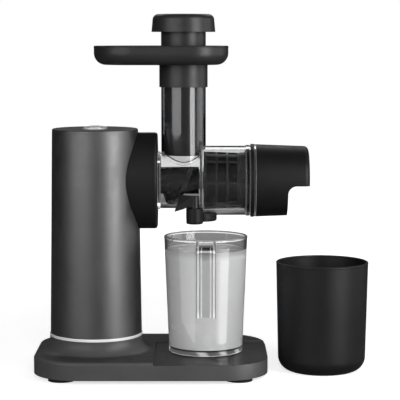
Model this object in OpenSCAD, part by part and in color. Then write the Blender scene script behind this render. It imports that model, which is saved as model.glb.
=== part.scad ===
// Cold press juicer: an upright motor tower on a flat base, with a horizontal screw press
// on its side, a feed tray and pusher above, a juice jug below and a pulp cup beside it.
// +X points along the screw towards the pulp outlet, -Y is the front, +Z is up.

/* [Base] */
// Length of the base plate along X
base_len = 241; // [225:1:260]
// Depth of the base plate along Y
base_depth = 160; // [150:1:180]
// Plan radius of the base plate's corners
base_corner_r = 48; // [40:1:56]
// Thickness of the base plate without its feet
base_h = 18.5; // [16:0.5:24]
// Rounding of the base plate's top edge
base_edge_r = 3; // [1.5:0.5:4]
// Wall of the moulded base shell
base_wall = 3; // [2.5:0.5:4]
// Thickness of the bottom cover
cover_t = 2.5; // [2:0.5:3.5]
// Height of the rubber feet
foot_h = 5; // [4:0.5:8]
// Radius of a rubber foot
foot_r = 14; // [10:1:16]
// Distance of the foot centres from the base's ends
foot_inset_x = 30; // [28:1:40]
// Distance of the foot centres from the base's long edges
foot_inset_y = 28; // [26:1:36]
// Depth of the step that the jug stands in
bay_depth = 3; // [1:0.5:4]
// Length of the jug's step, from the base's free end
bay_len = 117; // [105:1:120]
// Distance of the step's back edge behind the machine's centre plane
bay_back = 41; // [41:1:60]
// Radius of the slots in the bottom cover
vent_r = 1.6; // [1:0.1:2.5]
// Length of a slot in the bottom cover
vent_len = 36; // [20:1:50]
// Number of slots in the bottom cover
vent_count = 7; // [3:1:9]

/* [Tower] */
// Distance of the tower's axis from the base's end
tower_inset = 62.3; // [60:0.5:70]
// Height of the flared foot on the base plate
flare_h = 14.7; // [10:0.5:18]
// Radius of the flared foot where it meets the plate
flare_r = 61; // [57:0.5:62]
// Height of the bright trim ring
ring_h = 2.8; // [2:0.2:5]
// Radius of the tower at its lower end
tower_foot_r = 47.8; // [46:0.2:50]
// Radius of the tower at its top
tower_top_r = 44.6; // [43.6:0.2:47]
// Height of the tower above the trim ring
tower_h = 213; // [200:1:230]
// Wall of the metal sleeve
sleeve_t = 1.6; // [1:0.1:2]
// Wall of the plastic frame inside the sleeve
frame_t = 2; // [1.5:0.1:2.4]
// Thickness of the cap that closes the tower
tower_cap_t = 3; // [2.5:0.5:5]
// Width of the control pad
pad_w = 25; // [24:1:30]
// Length of the control pad
pad_len = 40; // [39:1:48]
// Radius of a push button
button_r = 6.6; // [5:0.1:6.8]
// Travel of a push button
button_travel = 1.2; // [0.8:0.1:1.4]
// Thickness of the circuit board
board_t = 1.6; // [1:0.1:2]

/* [Socket and drive] */
// Height of the screw's axis above the base plate
head_rise = 176.5; // [170:0.5:182]
// Distance from the tower's axis to the socket's face
head_reach = 64.9; // [63:0.1:70]
// Half height of the oval socket
socket_half_h = 50; // [48:0.5:51]
// Half depth of the oval socket
socket_half_d = 31.2; // [31:0.1:32]
// Radius of the oval socket's long sides
socket_side_r = 63; // [60:1:70]
// Rounding of the socket's front edge
socket_edge_r = 3; // [1.5:0.5:3.5]
// Depth of the round recess in the socket's face
recess_depth = 14; // [13:0.5:15]
// Thickness of the wall behind the recess
recess_wall = 4; // [3:0.5:5]
// Tooth size (module) of the planetary gears
gear_module = 0.9; // [0.88:0.01:0.92]
// Width of the gear teeth along the shaft
gear_face = 10; // [8:0.5:12]
// Outside radius of the gear case
gear_case_r = 25.4; // [25.3:0.1:25.8]
// Wall of the gear case and of its end plates
gear_case_t = 1.4; // [1.2:0.1:1.5]
// Radius of the output shaft
output_r = 6; // [5:0.25:6.5]
// Radius of the motor shaft
motor_shaft_r = 2.5; // [2:0.1:2.8]
// Outside radius of the motor can
motor_r = 26; // [24:0.5:27]
// Length of the motor can
motor_len = 46; // [42:1:48]
// Wall of the motor can
motor_t = 1.8; // [1.2:0.1:2.2]
// Width across the flats of the hexagonal driver
hex_af = 16; // [12:0.5:17]

/* [Juicing head] */
// Outside radius of the chamber's feed section
feed_r = 29; // [28.6:0.1:29.4]
// Outside radius of the chamber's pressing section
press_r = 36; // [35:0.2:37]
// Length of the feed section, from the socket's face
feed_len = 44; // [43.6:0.1:46]
// Length of the pressing section
press_len = 57.8; // [56:0.2:62]
// Wall of the clear chamber
chamber_wall = 2.6; // [2:0.1:3]
// Outside radius of the feed tube
tube_r = 23.1; // [22:0.1:23.6]
// Wall of the feed tube
tube_wall = 2.5; // [2:0.1:3]
// Distance of the feed tube's axis from the socket's face
tube_offset = 26.9; // [26:0.1:29]
// Height of the feed tube's rim above the screw's axis
tube_top = 106; // [95:1:120]
// Length of the filter basket
basket_len = 44.4; // [42:0.2:46]
// Radius of the screw's core in the feed section
core_r = 14; // [12:0.5:15]
// Advance of the feed flight in one turn
feed_pitch = 63; // [56:1:90]
// Place round the axis, in degrees, where the feed flight starts
feed_start = 38; // [0:1:90]
// Advance of the pressing flight in one turn
press_pitch = 21; // [18:1:30]
// Radius of the screw's thin neck
neck_r = 9.4; // [8:0.2:11]
// Radius of the screw's front journal
journal_r = 5; // [4:0.25:6]
// Running gap between the screw's flights and the walls
flight_gap = 0.9; // [0.6:0.1:1.2]
// Outside radius of the filter basket at the feed end
basket_big_r = 30; // [29.4:0.1:31.2]
// Outside radius of the filter basket at the pulp end
basket_small_r = 28.6; // [27:0.1:28.8]
// Wall of the filter basket's frame
basket_wall = 1.8; // [1.4:0.1:2]
// Thickness of the filter's steel mesh
mesh_t = 0.5; // [0.4:0.1:0.6]
// Number of lengthwise ribs in the filter basket
basket_ribs = 8; // [6:1:10]
// Outside radius of the pulp cap at the lock ring
cap_r = 37.6; // [37.2:0.2:40]
// Outside radius of the pulp cap at the front of its hood
cap_nose_r = 35.8; // [34.6:0.2:36.8]
// Length of the pulp cap's lower part
cap_low_len = 32; // [28:0.5:36]
// Length of the pulp cap with its hood
cap_len = 54.3; // [51:0.1:60]
// Wall of the pulp cap
cap_wall = 2.4; // [2:0.1:3]
// Height of the hood's lip below the screw's axis
lip_drop = 3.1; // [1.5:0.1:8]

/* [Juice outlet] */
// Distance of the outlet block's axis from the socket's face
outlet_offset = 45.5; // [45:0.5:47]
// Outside radius of the outlet block
outlet_r = 16; // [15:0.5:16.5]
// Radius of the juice passage
juice_hole_r = 5; // [3.5:0.5:5]
// Distance from the screw's axis down to the outlet block's lower face
outlet_drop = 39.4; // [39:0.1:45]
// Radius of the drip lever's pivot pin
pivot_r = 2; // [1.5:0.1:2.2]
// Outside radius of the pivot's bearing
pivot_hub_r = 8.6; // [7:0.1:8.8]
// Thickness of the drip flap
flap_t = 2.2; // [1.6:0.1:3]

/* [Tray and pusher] */
// Length of the feed tray along X
tray_len = 138; // [120:1:150]
// Depth of the feed tray along Y
tray_depth = 98; // [90:1:110]
// Height of the feed tray
tray_h = 19.5; // [16:0.5:24]
// Plan radius of the feed tray's corners
tray_corner_r = 40; // [30:1:45]
// Rounding of the feed tray's bottom edge
tray_edge_r = 12; // [8:0.5:14]
// Wall of the feed tray
tray_wall = 2.2; // [1.8:0.1:3]
// Distance of the tray's middle from the feed tube's axis
tray_shift = 22.8; // [15:0.1:26]
// Outside radius of the collar below the tray
collar_r = 25; // [24.8:0.1:26.5]
// Length of the feed tube's end that the collar covers
collar_grip = 9; // [6:0.5:12]
// Length of the collar below the tray
collar_len = 23; // [18:0.5:26]
// Radius of the pusher's plunger
plunger_r = 20.1; // [15:0.1:20.2]
// Length of the plunger below its shoulder
plunger_len = 82; // [70:1:83]
// Length of the pusher's neck above its shoulder
pusher_neck_len = 45; // [40:0.5:50]
// Radius of the pusher's cap
pusher_cap_r = 32.9; // [30:0.1:36]
// Height of the pusher's cap
pusher_cap_h = 18.3; // [16:0.1:22]
// Rounding of the pusher cap's top edge
pusher_edge_r = 6; // [3:0.5:7]
// Wall of the pusher and its cap
pusher_wall = 2.2; // [1.8:0.1:2.6]

/* [Jug and cup] */
// Outside radius of the jug at its rim
jug_top_r = 43.4; // [42:0.2:45]
// Outside radius of the jug at its foot
jug_foot_r = 38.5; // [37:0.2:40]
// Height of the jug
jug_h = 122; // [110:1:126]
// Wall of the jug
jug_wall = 2.6; // [2:0.1:3.2]
// Thickness of the jug's floor
jug_floor = 6.5; // [4:0.5:8]
// Width of the jug's handle
handle_w = 20; // [16:0.5:24]
// Reach of the handle in front of the jug's rim
handle_reach = 30; // [26:0.5:34]
// Height of the handle's free end above the jug's foot
handle_gap = 47; // [35:1:60]
// Distance of the jug's axis beyond the outlet block's axis
jug_shift = 4.5; // [0:0.5:6]
// Outside radius of the pulp cup at its rim
cup_top_r = 48; // [45:0.5:50]
// Outside radius of the pulp cup at its foot
cup_foot_r = 45.7; // [43:0.5:48]
// Height of the pulp cup
cup_h = 115; // [100:1:130]
// Rounding of the pulp cup's foot
cup_edge_r = 15; // [8:0.5:18]
// Wall of the pulp cup
cup_wall = 2.2; // [1.8:0.1:3]
// Distance between the base and the pulp cup
cup_gap = 10; // [8:0.5:16]

/* [Clearances] */
// Gap between pieces that seat in or on each other
fit = 0.3; // [0.2:0.05:0.35]
// Radial running gap between a shaft and its bearing
running = 0.05; // [0.02:0.01:0.08]

/* [Hidden] */
$fn = 96;
tiny = 0.01;
rim_extra = 0.25;

// Heights, counted up from the surface that the juicer stands on
plate_top = foot_h + base_h;
bay_top = plate_top - bay_depth;
flare_top = plate_top + flare_h;
tower_z = flare_top + ring_h;
tower_top = tower_z + tower_h;
sleeve_top = tower_top - tower_cap_t;
head_z = plate_top + head_rise;

// Places along X; the origin is under the middle of the whole set
overall_len = base_len + cup_gap + 2 * cup_top_r;
base_x = -overall_len / 2;
base_end = base_x + base_len;
tower_x = base_x + tower_inset;
head_x = tower_x + head_reach;
tube_x = head_x + tube_offset;
outlet_x = head_x + outlet_offset;
jug_x = outlet_x + jug_shift;
cup_x = base_end + cup_gap + cup_top_r;

// ---- shapes that several pieces share ----

// Turns a shape drawn upright so that its height runs along X, u in front of the socket's face
module on_axis(u) {
    translate([head_x + u, 0, head_z]) rotate([0, 90, 0]) children();
}

// A tube standing on the XY plane
module pipe(outer_r, inner_r, len) {
    difference() {
        cylinder(r = outer_r, h = len);
        translate([0, 0, -1]) cylinder(r = inner_r, h = len + 2);
    }
}

// A slot with round ends, along X, cut to the given height
module slot(len, r, h) {
    linear_extrude(height = h) union() {
        square([len - 2 * r, 2 * r], center = true);
        for (side = [-1, 1]) translate([side * (len / 2 - r), 0]) circle(r = r, $fn = 48);
    }
}

// Section of a block's side: w wide, h high, with its lower outer edge rounded
module side_section(w, h, edge_r) {
    difference() {
        square([w, h]);
        if (edge_r > 0) difference() {
            translate([w - edge_r, -1]) square([edge_r + 1, edge_r + 1]);
            translate([w - edge_r, edge_r]) circle(r = edge_r, $fn = 48);
        }
    }
}

// A block with round plan corners whose lower edge is rounded all the way round
module soft_block(len, depth, h, corner_r, edge_r) {
    half_x = len / 2 - corner_r;
    half_y = depth / 2 - corner_r;
    union() {
        translate([-half_x, -half_y, 0]) cube([2 * half_x, 2 * half_y, h]);
        for (turn = [0, 180]) rotate([0, 0, turn]) {
            translate([half_x, half_y, 0]) rotate_extrude(angle = 90)
                side_section(corner_r, h, edge_r);
            translate([-half_x, half_y, 0]) rotate([0, 0, 90]) rotate_extrude(angle = 90)
                side_section(corner_r, h, edge_r);
            translate([half_x, half_y, 0]) rotate([90, 0, 0])
                linear_extrude(height = 2 * half_y) side_section(corner_r, h, edge_r);
            translate([-half_x, half_y, 0]) rotate([90, 0, 90])
                linear_extrude(height = 2 * half_x) side_section(corner_r, h, edge_r);
        }
    }
}

// Section of a round cap's side, its closed end below: narrower there, with a rounded edge
module cap_section(foot_r, nose_r, len, edge_r) {
    union() {
        side_section(nose_r, 2 * edge_r, edge_r);
        translate([0, edge_r])
            polygon([[0, 0], [nose_r, 0], [foot_r, len - edge_r], [0, len - edge_r]]);
    }
}

// A bead along the upper edge of a wall with round plan corners
module soft_rim(len, depth, corner_r, wall, bead_r) {
    half_x = len / 2 - corner_r;
    half_y = depth / 2 - corner_r;
    path_r = corner_r - wall / 2;
    union() for (turn = [0, 180]) rotate([0, 0, turn]) {
        translate([half_x, half_y, 0]) rotate_extrude(angle = 90)
            translate([path_r, 0]) circle(r = bead_r, $fn = 48);
        translate([-half_x, half_y, 0]) rotate([0, 0, 90]) rotate_extrude(angle = 90)
            translate([path_r, 0]) circle(r = bead_r, $fn = 48);
        translate([half_x + path_r, half_y, 0]) rotate([90, 0, 0])
            cylinder(r = bead_r, h = 2 * half_y, $fn = 48);
        translate([-half_x, half_y + path_r, 0]) rotate([0, 90, 0])
            cylinder(r = bead_r, h = 2 * half_x, $fn = 48);
    }
}

// A bead along the upper edge of a round wall
module round_rim(r, wall, bead_r) {
    rotate_extrude() translate([r - wall / 2, 0]) circle(r = bead_r, $fn = 48);
}

// Flat outline of a block with round plan corners
module round_outline(len, depth, corner_r) {
    union() {
        square([len - 2 * corner_r, depth], center = true);
        square([len, depth - 2 * corner_r], center = true);
        for (sx = [-1, 1]) for (sy = [-1, 1])
            translate([sx * (len / 2 - corner_r), sy * (depth / 2 - corner_r)])
                circle(r = corner_r);
    }
}

// Countersunk-free screw: a round head below, its shank pointing up
module screw(head_r, head_h, shank_r, shank_len) {
    union() {
        difference() {
            cylinder(r = head_r, h = head_h, $fn = 32);
            translate([0, 0, -tiny]) cylinder(r = head_r * 0.45, h = head_h * 0.5, $fn = 6);
        }
        translate([0, 0, head_h - tiny]) cylinder(r = shank_r, h = shank_len, $fn = 32);
    }
}

// ---- base ----

cover_edge = base_wall + fit;
cavity_top = bay_top - base_wall;
foot_places = [for (x = [base_x + foot_inset_x, base_end - foot_inset_x])
    for (y = [-1, 1]) [x, y * (base_depth / 2 - foot_inset_y)]];
boss_r = 5;
screw_r = 1.6;
screw_head_r = 3.2;
screw_head_h = 2;
screw_hole_r = screw_r + fit;
ring_lip = 0.6;
ring_r = tower_foot_r + ring_lip;
flare_fillet = min(flare_r - ring_r, flare_h - 1);
frame_screw_r = tower_top_r - 9;
frame_screw_len = 7;
frame_screw_angles = [45, 135, 225, 315];
inlet_z = (foot_h + cover_t + cavity_top) / 2;
inlet_flange_r = 5.4;
inlet_flange_t = 1.4;
inlet_body_r = 3.8;
inlet_bore_r = 2.6;
inlet_len = 8;

// Outside radius of the tower at a height
function tower_r(z) = tower_top_r + (tower_foot_r - tower_top_r) * (tower_top - z) / tower_h;

// A solid that follows the tower's taper between two heights, grown by a gap
module tower_form(z0, z1, gap) {
    translate([tower_x, 0, z0]) rotate([0, 0, 180])
        cylinder(h = z1 - z0, r1 = tower_r(z0) + gap, r2 = tower_r(z1) + gap);
}

// Section of the concave flare that carries the tower
module flare_section() {
    union() {
        square([ring_r, flare_h]);
        difference() {
            square([ring_r + flare_fillet, flare_fillet]);
            translate([ring_r + flare_fillet, flare_fillet]) circle(r = flare_fillet);
        }
    }
}

module base_shell() {
    color("#4c4c4e") difference() {
        union() {
            translate([base_x + base_len / 2, 0, plate_top]) rotate([180, 0, 0])
                soft_block(base_len, base_depth, base_h, base_corner_r, base_edge_r);
            translate([tower_x, 0, plate_top]) rotate_extrude() flare_section();
        }
        // The step that the jug stands in, open to the front and to the free end
        translate([base_end - bay_len, -base_depth, bay_top])
            cube([base_len, base_depth + bay_back, base_h]);
        // Hollow underside, with a boss over each foot
        difference() {
            translate([base_x + base_len / 2, 0, foot_h - 1])
                linear_extrude(height = cavity_top - foot_h + 1)
                    round_outline(base_len - 2 * base_wall, base_depth - 2 * base_wall,
                                  base_corner_r - base_wall);
            for (place = foot_places)
                translate([place[0], place[1], foot_h + cover_t]) cylinder(r = boss_r, h = base_h);
        }
        for (place = foot_places)
            translate([place[0], place[1], foot_h]) cylinder(r = screw_hole_r, h = base_h * 0.6);
        // Room inside the flare, with holes for the wiring and the frame's screws
        translate([tower_x, 0, foot_h])
            cylinder(r = tower_top_r - base_wall - 1.6, h = flare_top - base_wall - foot_h);
        translate([tower_x, 0, foot_h]) cylinder(r = tower_top_r / 3, h = flare_top);
        for (angle = frame_screw_angles)
            translate([tower_x, 0, foot_h]) rotate([0, 0, angle])
                translate([frame_screw_r, 0, 0]) cylinder(r = screw_hole_r, h = flare_top);
        // Cord inlet in the back wall
        translate([tower_x, base_depth / 2 + 1, inlet_z]) rotate([90, 0, 0])
            cylinder(r = inlet_flange_r + fit, h = inlet_flange_t + 1);
        translate([tower_x, base_depth / 2 + 1, inlet_z]) rotate([90, 0, 0])
            cylinder(r = inlet_body_r + fit, h = inlet_len + 4);
    }
}

module bottom_cover() {
    color("#2a2a2b") difference() {
        translate([base_x + base_len / 2, 0, foot_h]) linear_extrude(height = cover_t)
            round_outline(base_len - 2 * cover_edge, base_depth - 2 * cover_edge,
                          base_corner_r - cover_edge);
        for (place = foot_places)
            translate([place[0], place[1], foot_h - 1]) cylinder(r = screw_hole_r, h = cover_t + 2);
        for (i = [0 : vent_count - 1])
            translate([tower_x, (i - (vent_count - 1) / 2) * 5 * vent_r, foot_h - 1])
                slot(vent_len, vent_r, cover_t + 2);
    }
}

foot_seat = 1.5;

module rubber_feet() {
    color("#1b1b1b") for (place = foot_places) translate([place[0], place[1], 0]) difference() {
        cylinder(r1 = foot_r, r2 = foot_r - 1, h = foot_h);
        translate([0, 0, -1]) cylinder(r = screw_head_r + 2 * fit, h = foot_h - foot_seat + 1);
        translate([0, 0, -1]) cylinder(r = screw_hole_r, h = foot_h + 2);
    }
}

module foot_screws() {
    color("silver") for (place = foot_places)
        translate([place[0], place[1], foot_h - foot_seat - screw_head_h])
            screw(screw_head_r, screw_head_h, screw_r, base_h * 0.5);
}

module cord_inlet() {
    color("#161616") translate([tower_x, base_depth / 2, inlet_z]) rotate([90, 0, 0])
        difference() {
            union() {
                cylinder(r = inlet_flange_r, h = inlet_flange_t);
                cylinder(r = inlet_body_r, h = inlet_len);
            }
            translate([0, 0, -1]) cylinder(r = inlet_bore_r, h = inlet_len + 2);
        }
}

module trim_ring() {
    color("#d8d8da") translate([tower_x, 0, flare_top]) difference() {
        union() {
            cylinder(r = ring_r, h = ring_h - ring_lip);
            translate([0, 0, ring_h - ring_lip])
                cylinder(r1 = ring_r, r2 = tower_foot_r, h = ring_lip);
        }
        translate([0, 0, -1]) cylinder(r = tower_foot_r - sleeve_t, h = ring_h + 2);
    }
}

// ---- tower ----

skirt_h = 7;
frame_top = sleeve_top - skirt_h - fit;
frame_foot_h = 4;
frame_gap = -sleeve_t - fit;
bar_low = 35;
bar_high = 44;
bar_inset = 3.7;
bar_face = tower_top_r - bar_inset;
bar_depth = 8;
socket_screw_y = 9;
socket_screw_z = 40;
socket_boss_r = 3.6;

// The opening in the sleeve and the frame behind the socket
module socket_window() {
    translate([tower_x + tower_top_r / 3, 0, head_z]) rotate([0, 90, 0]) union() {
        cylinder(r = gear_case_r + 1, h = tower_foot_r);
        translate([-socket_screw_z, -socket_screw_y - 1, 0])
            cube([2 * socket_screw_z, 2 * socket_screw_y + 2, tower_foot_r]);
        for (sy = [-1, 1]) for (sz = [-1, 1])
            translate([sz * socket_screw_z, sy * socket_screw_y, 0])
                cylinder(r = socket_boss_r + fit, h = tower_foot_r);
    }
}

// Places of the screws that hold the socket to the frame
module at_socket_screws() {
    for (sy = [-1, 1]) for (sz = [-1, 1])
        translate([tower_x, sy * socket_screw_y, head_z + sz * socket_screw_z])
            rotate([0, 90, 0]) children();
}

module inner_frame() {
    color("#3a3a3c") difference() {
        union() {
            difference() {
                tower_form(flare_top, frame_top, frame_gap);
                tower_form(flare_top + frame_foot_h, frame_top + 1, frame_gap - frame_t);
                translate([tower_x, 0, flare_top - 1])
                    cylinder(r = frame_screw_r - boss_r, h = frame_foot_h + 2);
                socket_window();
            }
            // Cross bars above and below the gear case, which carry the socket
            intersection() {
                tower_form(flare_top, frame_top, frame_gap);
                for (z = [head_z + bar_low, head_z - bar_high])
                    translate([tower_x + bar_face - bar_depth, -tower_foot_r, z])
                        cube([bar_depth, 2 * tower_foot_r, bar_high - bar_low]);
            }
        }
        for (angle = frame_screw_angles)
            translate([tower_x, 0, flare_top - 1]) rotate([0, 0, angle])
                translate([frame_screw_r, 0, 0])
                    cylinder(r = screw_hole_r, h = frame_foot_h + 2);
        at_socket_screws() cylinder(r = screw_hole_r, h = tower_foot_r);
    }
}

module frame_screws() {
    color("silver") for (angle = frame_screw_angles)
        translate([tower_x, 0, flare_top - base_wall - screw_head_h]) rotate([0, 0, angle])
            translate([frame_screw_r, 0, 0])
                screw(screw_head_r, screw_head_h, screw_r, frame_screw_len);
}

module tower_sleeve() {
    color("#5a5a5c") difference() {
        tower_form(tower_z, sleeve_top, 0);
        tower_form(tower_z - 1, sleeve_top + 1, -sleeve_t);
        socket_window();
    }
}

// ---- control pad ----

cap_edge_r = 1.5;
pad_rise = 1.6;
pad_edge_r = 1;
pad_ledge = 2.4;
well_depth = 9;
well_wall = 2;
button_y = (pad_len - pad_w) / 2 + 0.8;
button_hole_r = button_r + fit;
button_stand = 0.8;
button_flange_r = button_r + 0.7;
button_flange_h = 1.2;
button_stem_r = 2.2;
board_inset = 16.6;
board_len = 2 * (tower_top_r - board_inset);
board_depth = 42;
board_post_r = 3;
board_screw_len = 6;
board_z = sleeve_top - 12.4;
switch_h = 3.4;
spring_r = 3.6;
spring_wire_r = 0.35;
spring_turns = 4;
well_bottom = tower_top - well_depth;

module pad_outline(grow) {
    union() {
        square([pad_w + 2 * grow, pad_len - pad_w], center = true);
        for (sy = [-1, 1]) translate([0, sy * (pad_len - pad_w) / 2])
            circle(r = pad_w / 2 + grow);
    }
}

board_places = [for (sx = [-1, 1]) for (sy = [-1, 1])
    [tower_x + sx * (board_len / 2 - 4), sy * (board_depth / 2 - 4)]];

module tower_cap() {
    color("#1c1c1d") difference() {
        union() {
            translate([tower_x, 0, tower_top]) rotate([180, 0, 0]) rotate_extrude()
                side_section(tower_top_r, tower_cap_t, cap_edge_r);
            difference() {
                tower_form(sleeve_top - skirt_h, sleeve_top + tiny, frame_gap);
                tower_form(sleeve_top - skirt_h - 1, sleeve_top + tiny, frame_gap - frame_t);
            }
            for (place = board_places) translate([place[0], place[1], board_z + board_t])
                cylinder(r = board_post_r, h = sleeve_top - board_z - board_t + tiny);
        }
        translate([tower_x, 0, sleeve_top - 1]) linear_extrude(height = tower_cap_t + 2)
            pad_outline(-pad_ledge + fit);
        for (place = board_places)
            translate([place[0], place[1], board_z - 1])
                cylinder(r = screw_hole_r, h = board_screw_len + 3);
    }
}

module control_bezel() {
    color("#b9babc") difference() {
        union() {
            translate([tower_x, 0, tower_top]) linear_extrude(height = pad_rise - pad_edge_r)
                pad_outline(0);
            translate([tower_x, 0, tower_top + pad_rise - pad_edge_r - tiny])
                linear_extrude(height = pad_edge_r + tiny) pad_outline(-pad_edge_r);
            translate([tower_x, 0, well_bottom]) linear_extrude(height = well_depth)
                pad_outline(-pad_ledge);
        }
        for (sy = [-1, 1]) translate([tower_x, sy * button_y, 0]) {
            translate([0, 0, tower_top - 1.4]) cylinder(r = button_hole_r, h = 10);
            translate([0, 0, well_bottom - 1])
                cylinder(r = button_flange_r + fit, h = well_depth - 0.4);
        }
    }
}

// A push button with its retaining flange and its stem
module push_button(side) {
    top = tower_top + pad_rise + button_stand;
    flange_z = tower_top - 1.4 - button_flange_h - fit;
    stem_z = board_z + board_t + switch_h + button_travel + fit;
    translate([tower_x, side * button_y, 0]) union() {
        translate([0, 0, flange_z]) cylinder(r = button_flange_r, h = button_flange_h);
        translate([0, 0, flange_z]) cylinder(r = button_r, h = top - flange_z - 0.8);
        translate([0, 0, top - 0.8 - tiny]) cylinder(r1 = button_r, r2 = button_r - 0.8, h = 0.8);
        translate([0, 0, stem_z]) cylinder(r = button_stem_r, h = flange_z - stem_z + tiny);
    }
}

module start_button() { color("#c8c8ca") push_button(-1); }

module reverse_button() { color("#a9a9ac") push_button(1); }

// A coil spring from one height to another, swept as a tube of six sides
module coil_spring(z0, z1, r, wire_r, turns) {
    steps = turns * 16;
    sides = 6;
    points = [for (i = [0 : steps]) for (j = [0 : sides - 1])
        let (a = i * 360 * turns / steps, b = j * 360 / sides, rr = r + wire_r * cos(b))
        [rr * cos(a), rr * sin(a), z0 + (z1 - z0) * i / steps + wire_r * sin(b)]];
    walls = [for (i = [0 : steps - 1]) for (j = [0 : sides - 1])
        let (k = (j + 1) % sides)
        [i * sides + j, i * sides + k, (i + 1) * sides + k, (i + 1) * sides + j]];
    ends = [[for (j = [sides - 1 : -1 : 0]) j], [for (j = [0 : sides - 1]) steps * sides + j]];
    polyhedron(points, concat(walls, ends), convexity = 4);
}

module button_spring(side) {
    flange_z = tower_top - 1.4 - button_flange_h - fit;
    translate([tower_x, side * button_y, 0])
        coil_spring(board_z + board_t + spring_wire_r + 0.1, flange_z - spring_wire_r - 0.1,
                    spring_r, spring_wire_r, spring_turns);
}

module start_spring() { color("silver") button_spring(-1); }

module reverse_spring() { color("silver") button_spring(1); }

module control_board() {
    color("#2f5d3a") difference() {
        translate([tower_x - board_len / 2, -board_depth / 2, board_z])
            cube([board_len, board_depth, board_t]);
        for (place = board_places)
            translate([place[0], place[1], board_z - 1]) cylinder(r = screw_hole_r, h = board_t + 2);
    }
}

module push_switches() {
    color("#101010") for (side = [-1, 1])
        translate([tower_x, side * button_y, board_z + board_t]) union() {
            cylinder(r = spring_r - spring_wire_r - fit, h = switch_h - 0.6, $fn = 32);
            cylinder(r = button_stem_r - fit, h = switch_h, $fn = 32);
        }
}

module board_screws() {
    color("silver") for (place = board_places)
        translate([place[0], place[1], board_z - screw_head_h])
            screw(screw_head_r, screw_head_h, screw_r, board_screw_len);
}

// ---- socket ----

spigot_len = 12;
spigot_r = feed_r - 1.4;
spigot_wall = 2.6;
wall_back = recess_depth + recess_wall;
seal_r = 9;
case_screw_r = 17;
case_screw_len = 8;
socket_wall = 3;
boss_back = head_reach - bar_face;
socket_screw_len = bar_depth + boss_back - recess_depth - 2;

// Places of the screws that hold the gear case, on its front plate
module at_case_screws(u) {
    on_axis(u) for (angle = [45 : 90 : 315]) rotate([0, 0, angle])
        translate([case_screw_r, 0, 0]) children();
}

// The socket's upright oval, drawn in by an inset: a disc crossed with two wider ones
module socket_form(len, inset, edge_r) {
    intersection() {
        rotate_extrude() side_section(socket_half_h - inset, len, edge_r);
        translate([0, socket_side_r - socket_half_d, 0]) rotate_extrude()
            side_section(socket_side_r - inset, len, edge_r);
        translate([0, socket_half_d - socket_side_r, 0]) rotate_extrude()
            side_section(socket_side_r - inset, len, edge_r);
    }
}

module socket_housing() {
    color("#1d1d1e") difference() {
        union() {
            difference() {
                translate([head_x, 0, head_z]) rotate([0, -90, 0])
                    socket_form(head_reach - tower_top_r / 3, 0, socket_edge_r);
                tower_form(flare_top, tower_top + 1, fit / 2);
                on_axis(-head_reach) socket_form(head_reach - wall_back, socket_wall, 0);
            }
            for (sy = [-1, 1]) for (sz = [-1, 1])
                on_axis(-boss_back) translate([sz * socket_screw_z, sy * socket_screw_y, 0])
                    cylinder(r = socket_boss_r, h = boss_back - recess_depth);
        }
        on_axis(-recess_depth) cylinder(r = spigot_r + fit, h = recess_depth + 1);
        on_axis(-wall_back - 1) cylinder(r = seal_r, h = recess_wall + 2);
        at_case_screws(-wall_back - 1) cylinder(r = screw_hole_r, h = recess_wall + 2, $fn = 32);
        for (sy = [-1, 1]) for (sz = [-1, 1])
            on_axis(-boss_back - 1) translate([sz * socket_screw_z, sy * socket_screw_y, 0])
                cylinder(r = screw_hole_r, h = boss_back - recess_depth);
    }
}

module socket_screws() {
    color("silver") for (sy = [-1, 1]) for (sz = [-1, 1])
        on_axis(-boss_back - bar_depth - screw_head_h)
            translate([sz * socket_screw_z, sy * socket_screw_y, 0])
                screw(screw_head_r, screw_head_h, screw_r, socket_screw_len);
}

module shaft_seal() {
    color("#303030") on_axis(-wall_back) pipe(seal_r - running, output_r + fit, recess_wall);
}

// ---- gear case ----

case_plate = 6;
bearing_r = 11;
bearing_w = 5;
carrier_t = 3.6;
carrier_gap = 0.4;
carrier_back = wall_back + case_plate + carrier_gap + carrier_t;
gear_front = carrier_back + carrier_gap;
gear_back = gear_front + gear_face;
case_len = 24;
case_back = wall_back + case_len + gear_face - 10;
sun_teeth = 12;
planet_teeth = 18;
ring_teeth = sun_teeth + 2 * planet_teeth;
planet_orbit = gear_module * (sun_teeth + planet_teeth) / 2;
planet_pin_r = 2;
pressure_angle = 25;
backlash = 0.35;

// Angle of the involute at a pressure angle, in degrees
function involute(angle) = tan(angle) * 180 / PI - angle;

// Half of a tooth's angle at a radius, narrowed by the backlash
function half_tooth(teeth, r, slack) =
    let (pitch_r = gear_module * teeth / 2, base_r = pitch_r * cos(pressure_angle))
    90 / teeth - slack + involute(pressure_angle) - involute(acos(base_r / max(r, base_r)));

// Outline of a spur gear: addendum and root in tooth sizes, slack in degrees
module gear_outline(teeth, addendum, root, slack) {
    pitch_r = gear_module * teeth / 2;
    radii = [pitch_r - root * gear_module, max(pitch_r * cos(pressure_angle), pitch_r - 0.5 * gear_module),
             pitch_r, pitch_r + addendum * gear_module];
    polygon([for (i = [0 : teeth - 1]) for (k = [0 : 7])
        let (rise = k < 4 ? k : 7 - k, side = k < 4 ? -1 : 1, r = radii[rise],
             a = i * 360 / teeth + side * half_tooth(teeth, r, slack))
        [r * cos(a), r * sin(a)]]);
}

module gear_case() {
    color("#8f9092") on_axis(-case_back) difference() {
        cylinder(r = gear_case_r, h = case_back - wall_back);
        translate([0, 0, -1])
            cylinder(r = gear_case_r - gear_case_t, h = case_back - wall_back - case_plate + 1);
        translate([0, 0, case_back - wall_back - case_plate - 1])
            cylinder(r = bearing_r + running, h = bearing_w + 1);
        cylinder(r = seal_r - 1, h = case_back);
        for (angle = [45 : 90 : 315]) rotate([0, 0, angle])
            translate([case_screw_r, 0, 0]) cylinder(r = screw_hole_r, h = case_back, $fn = 32);
    }
}

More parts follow.
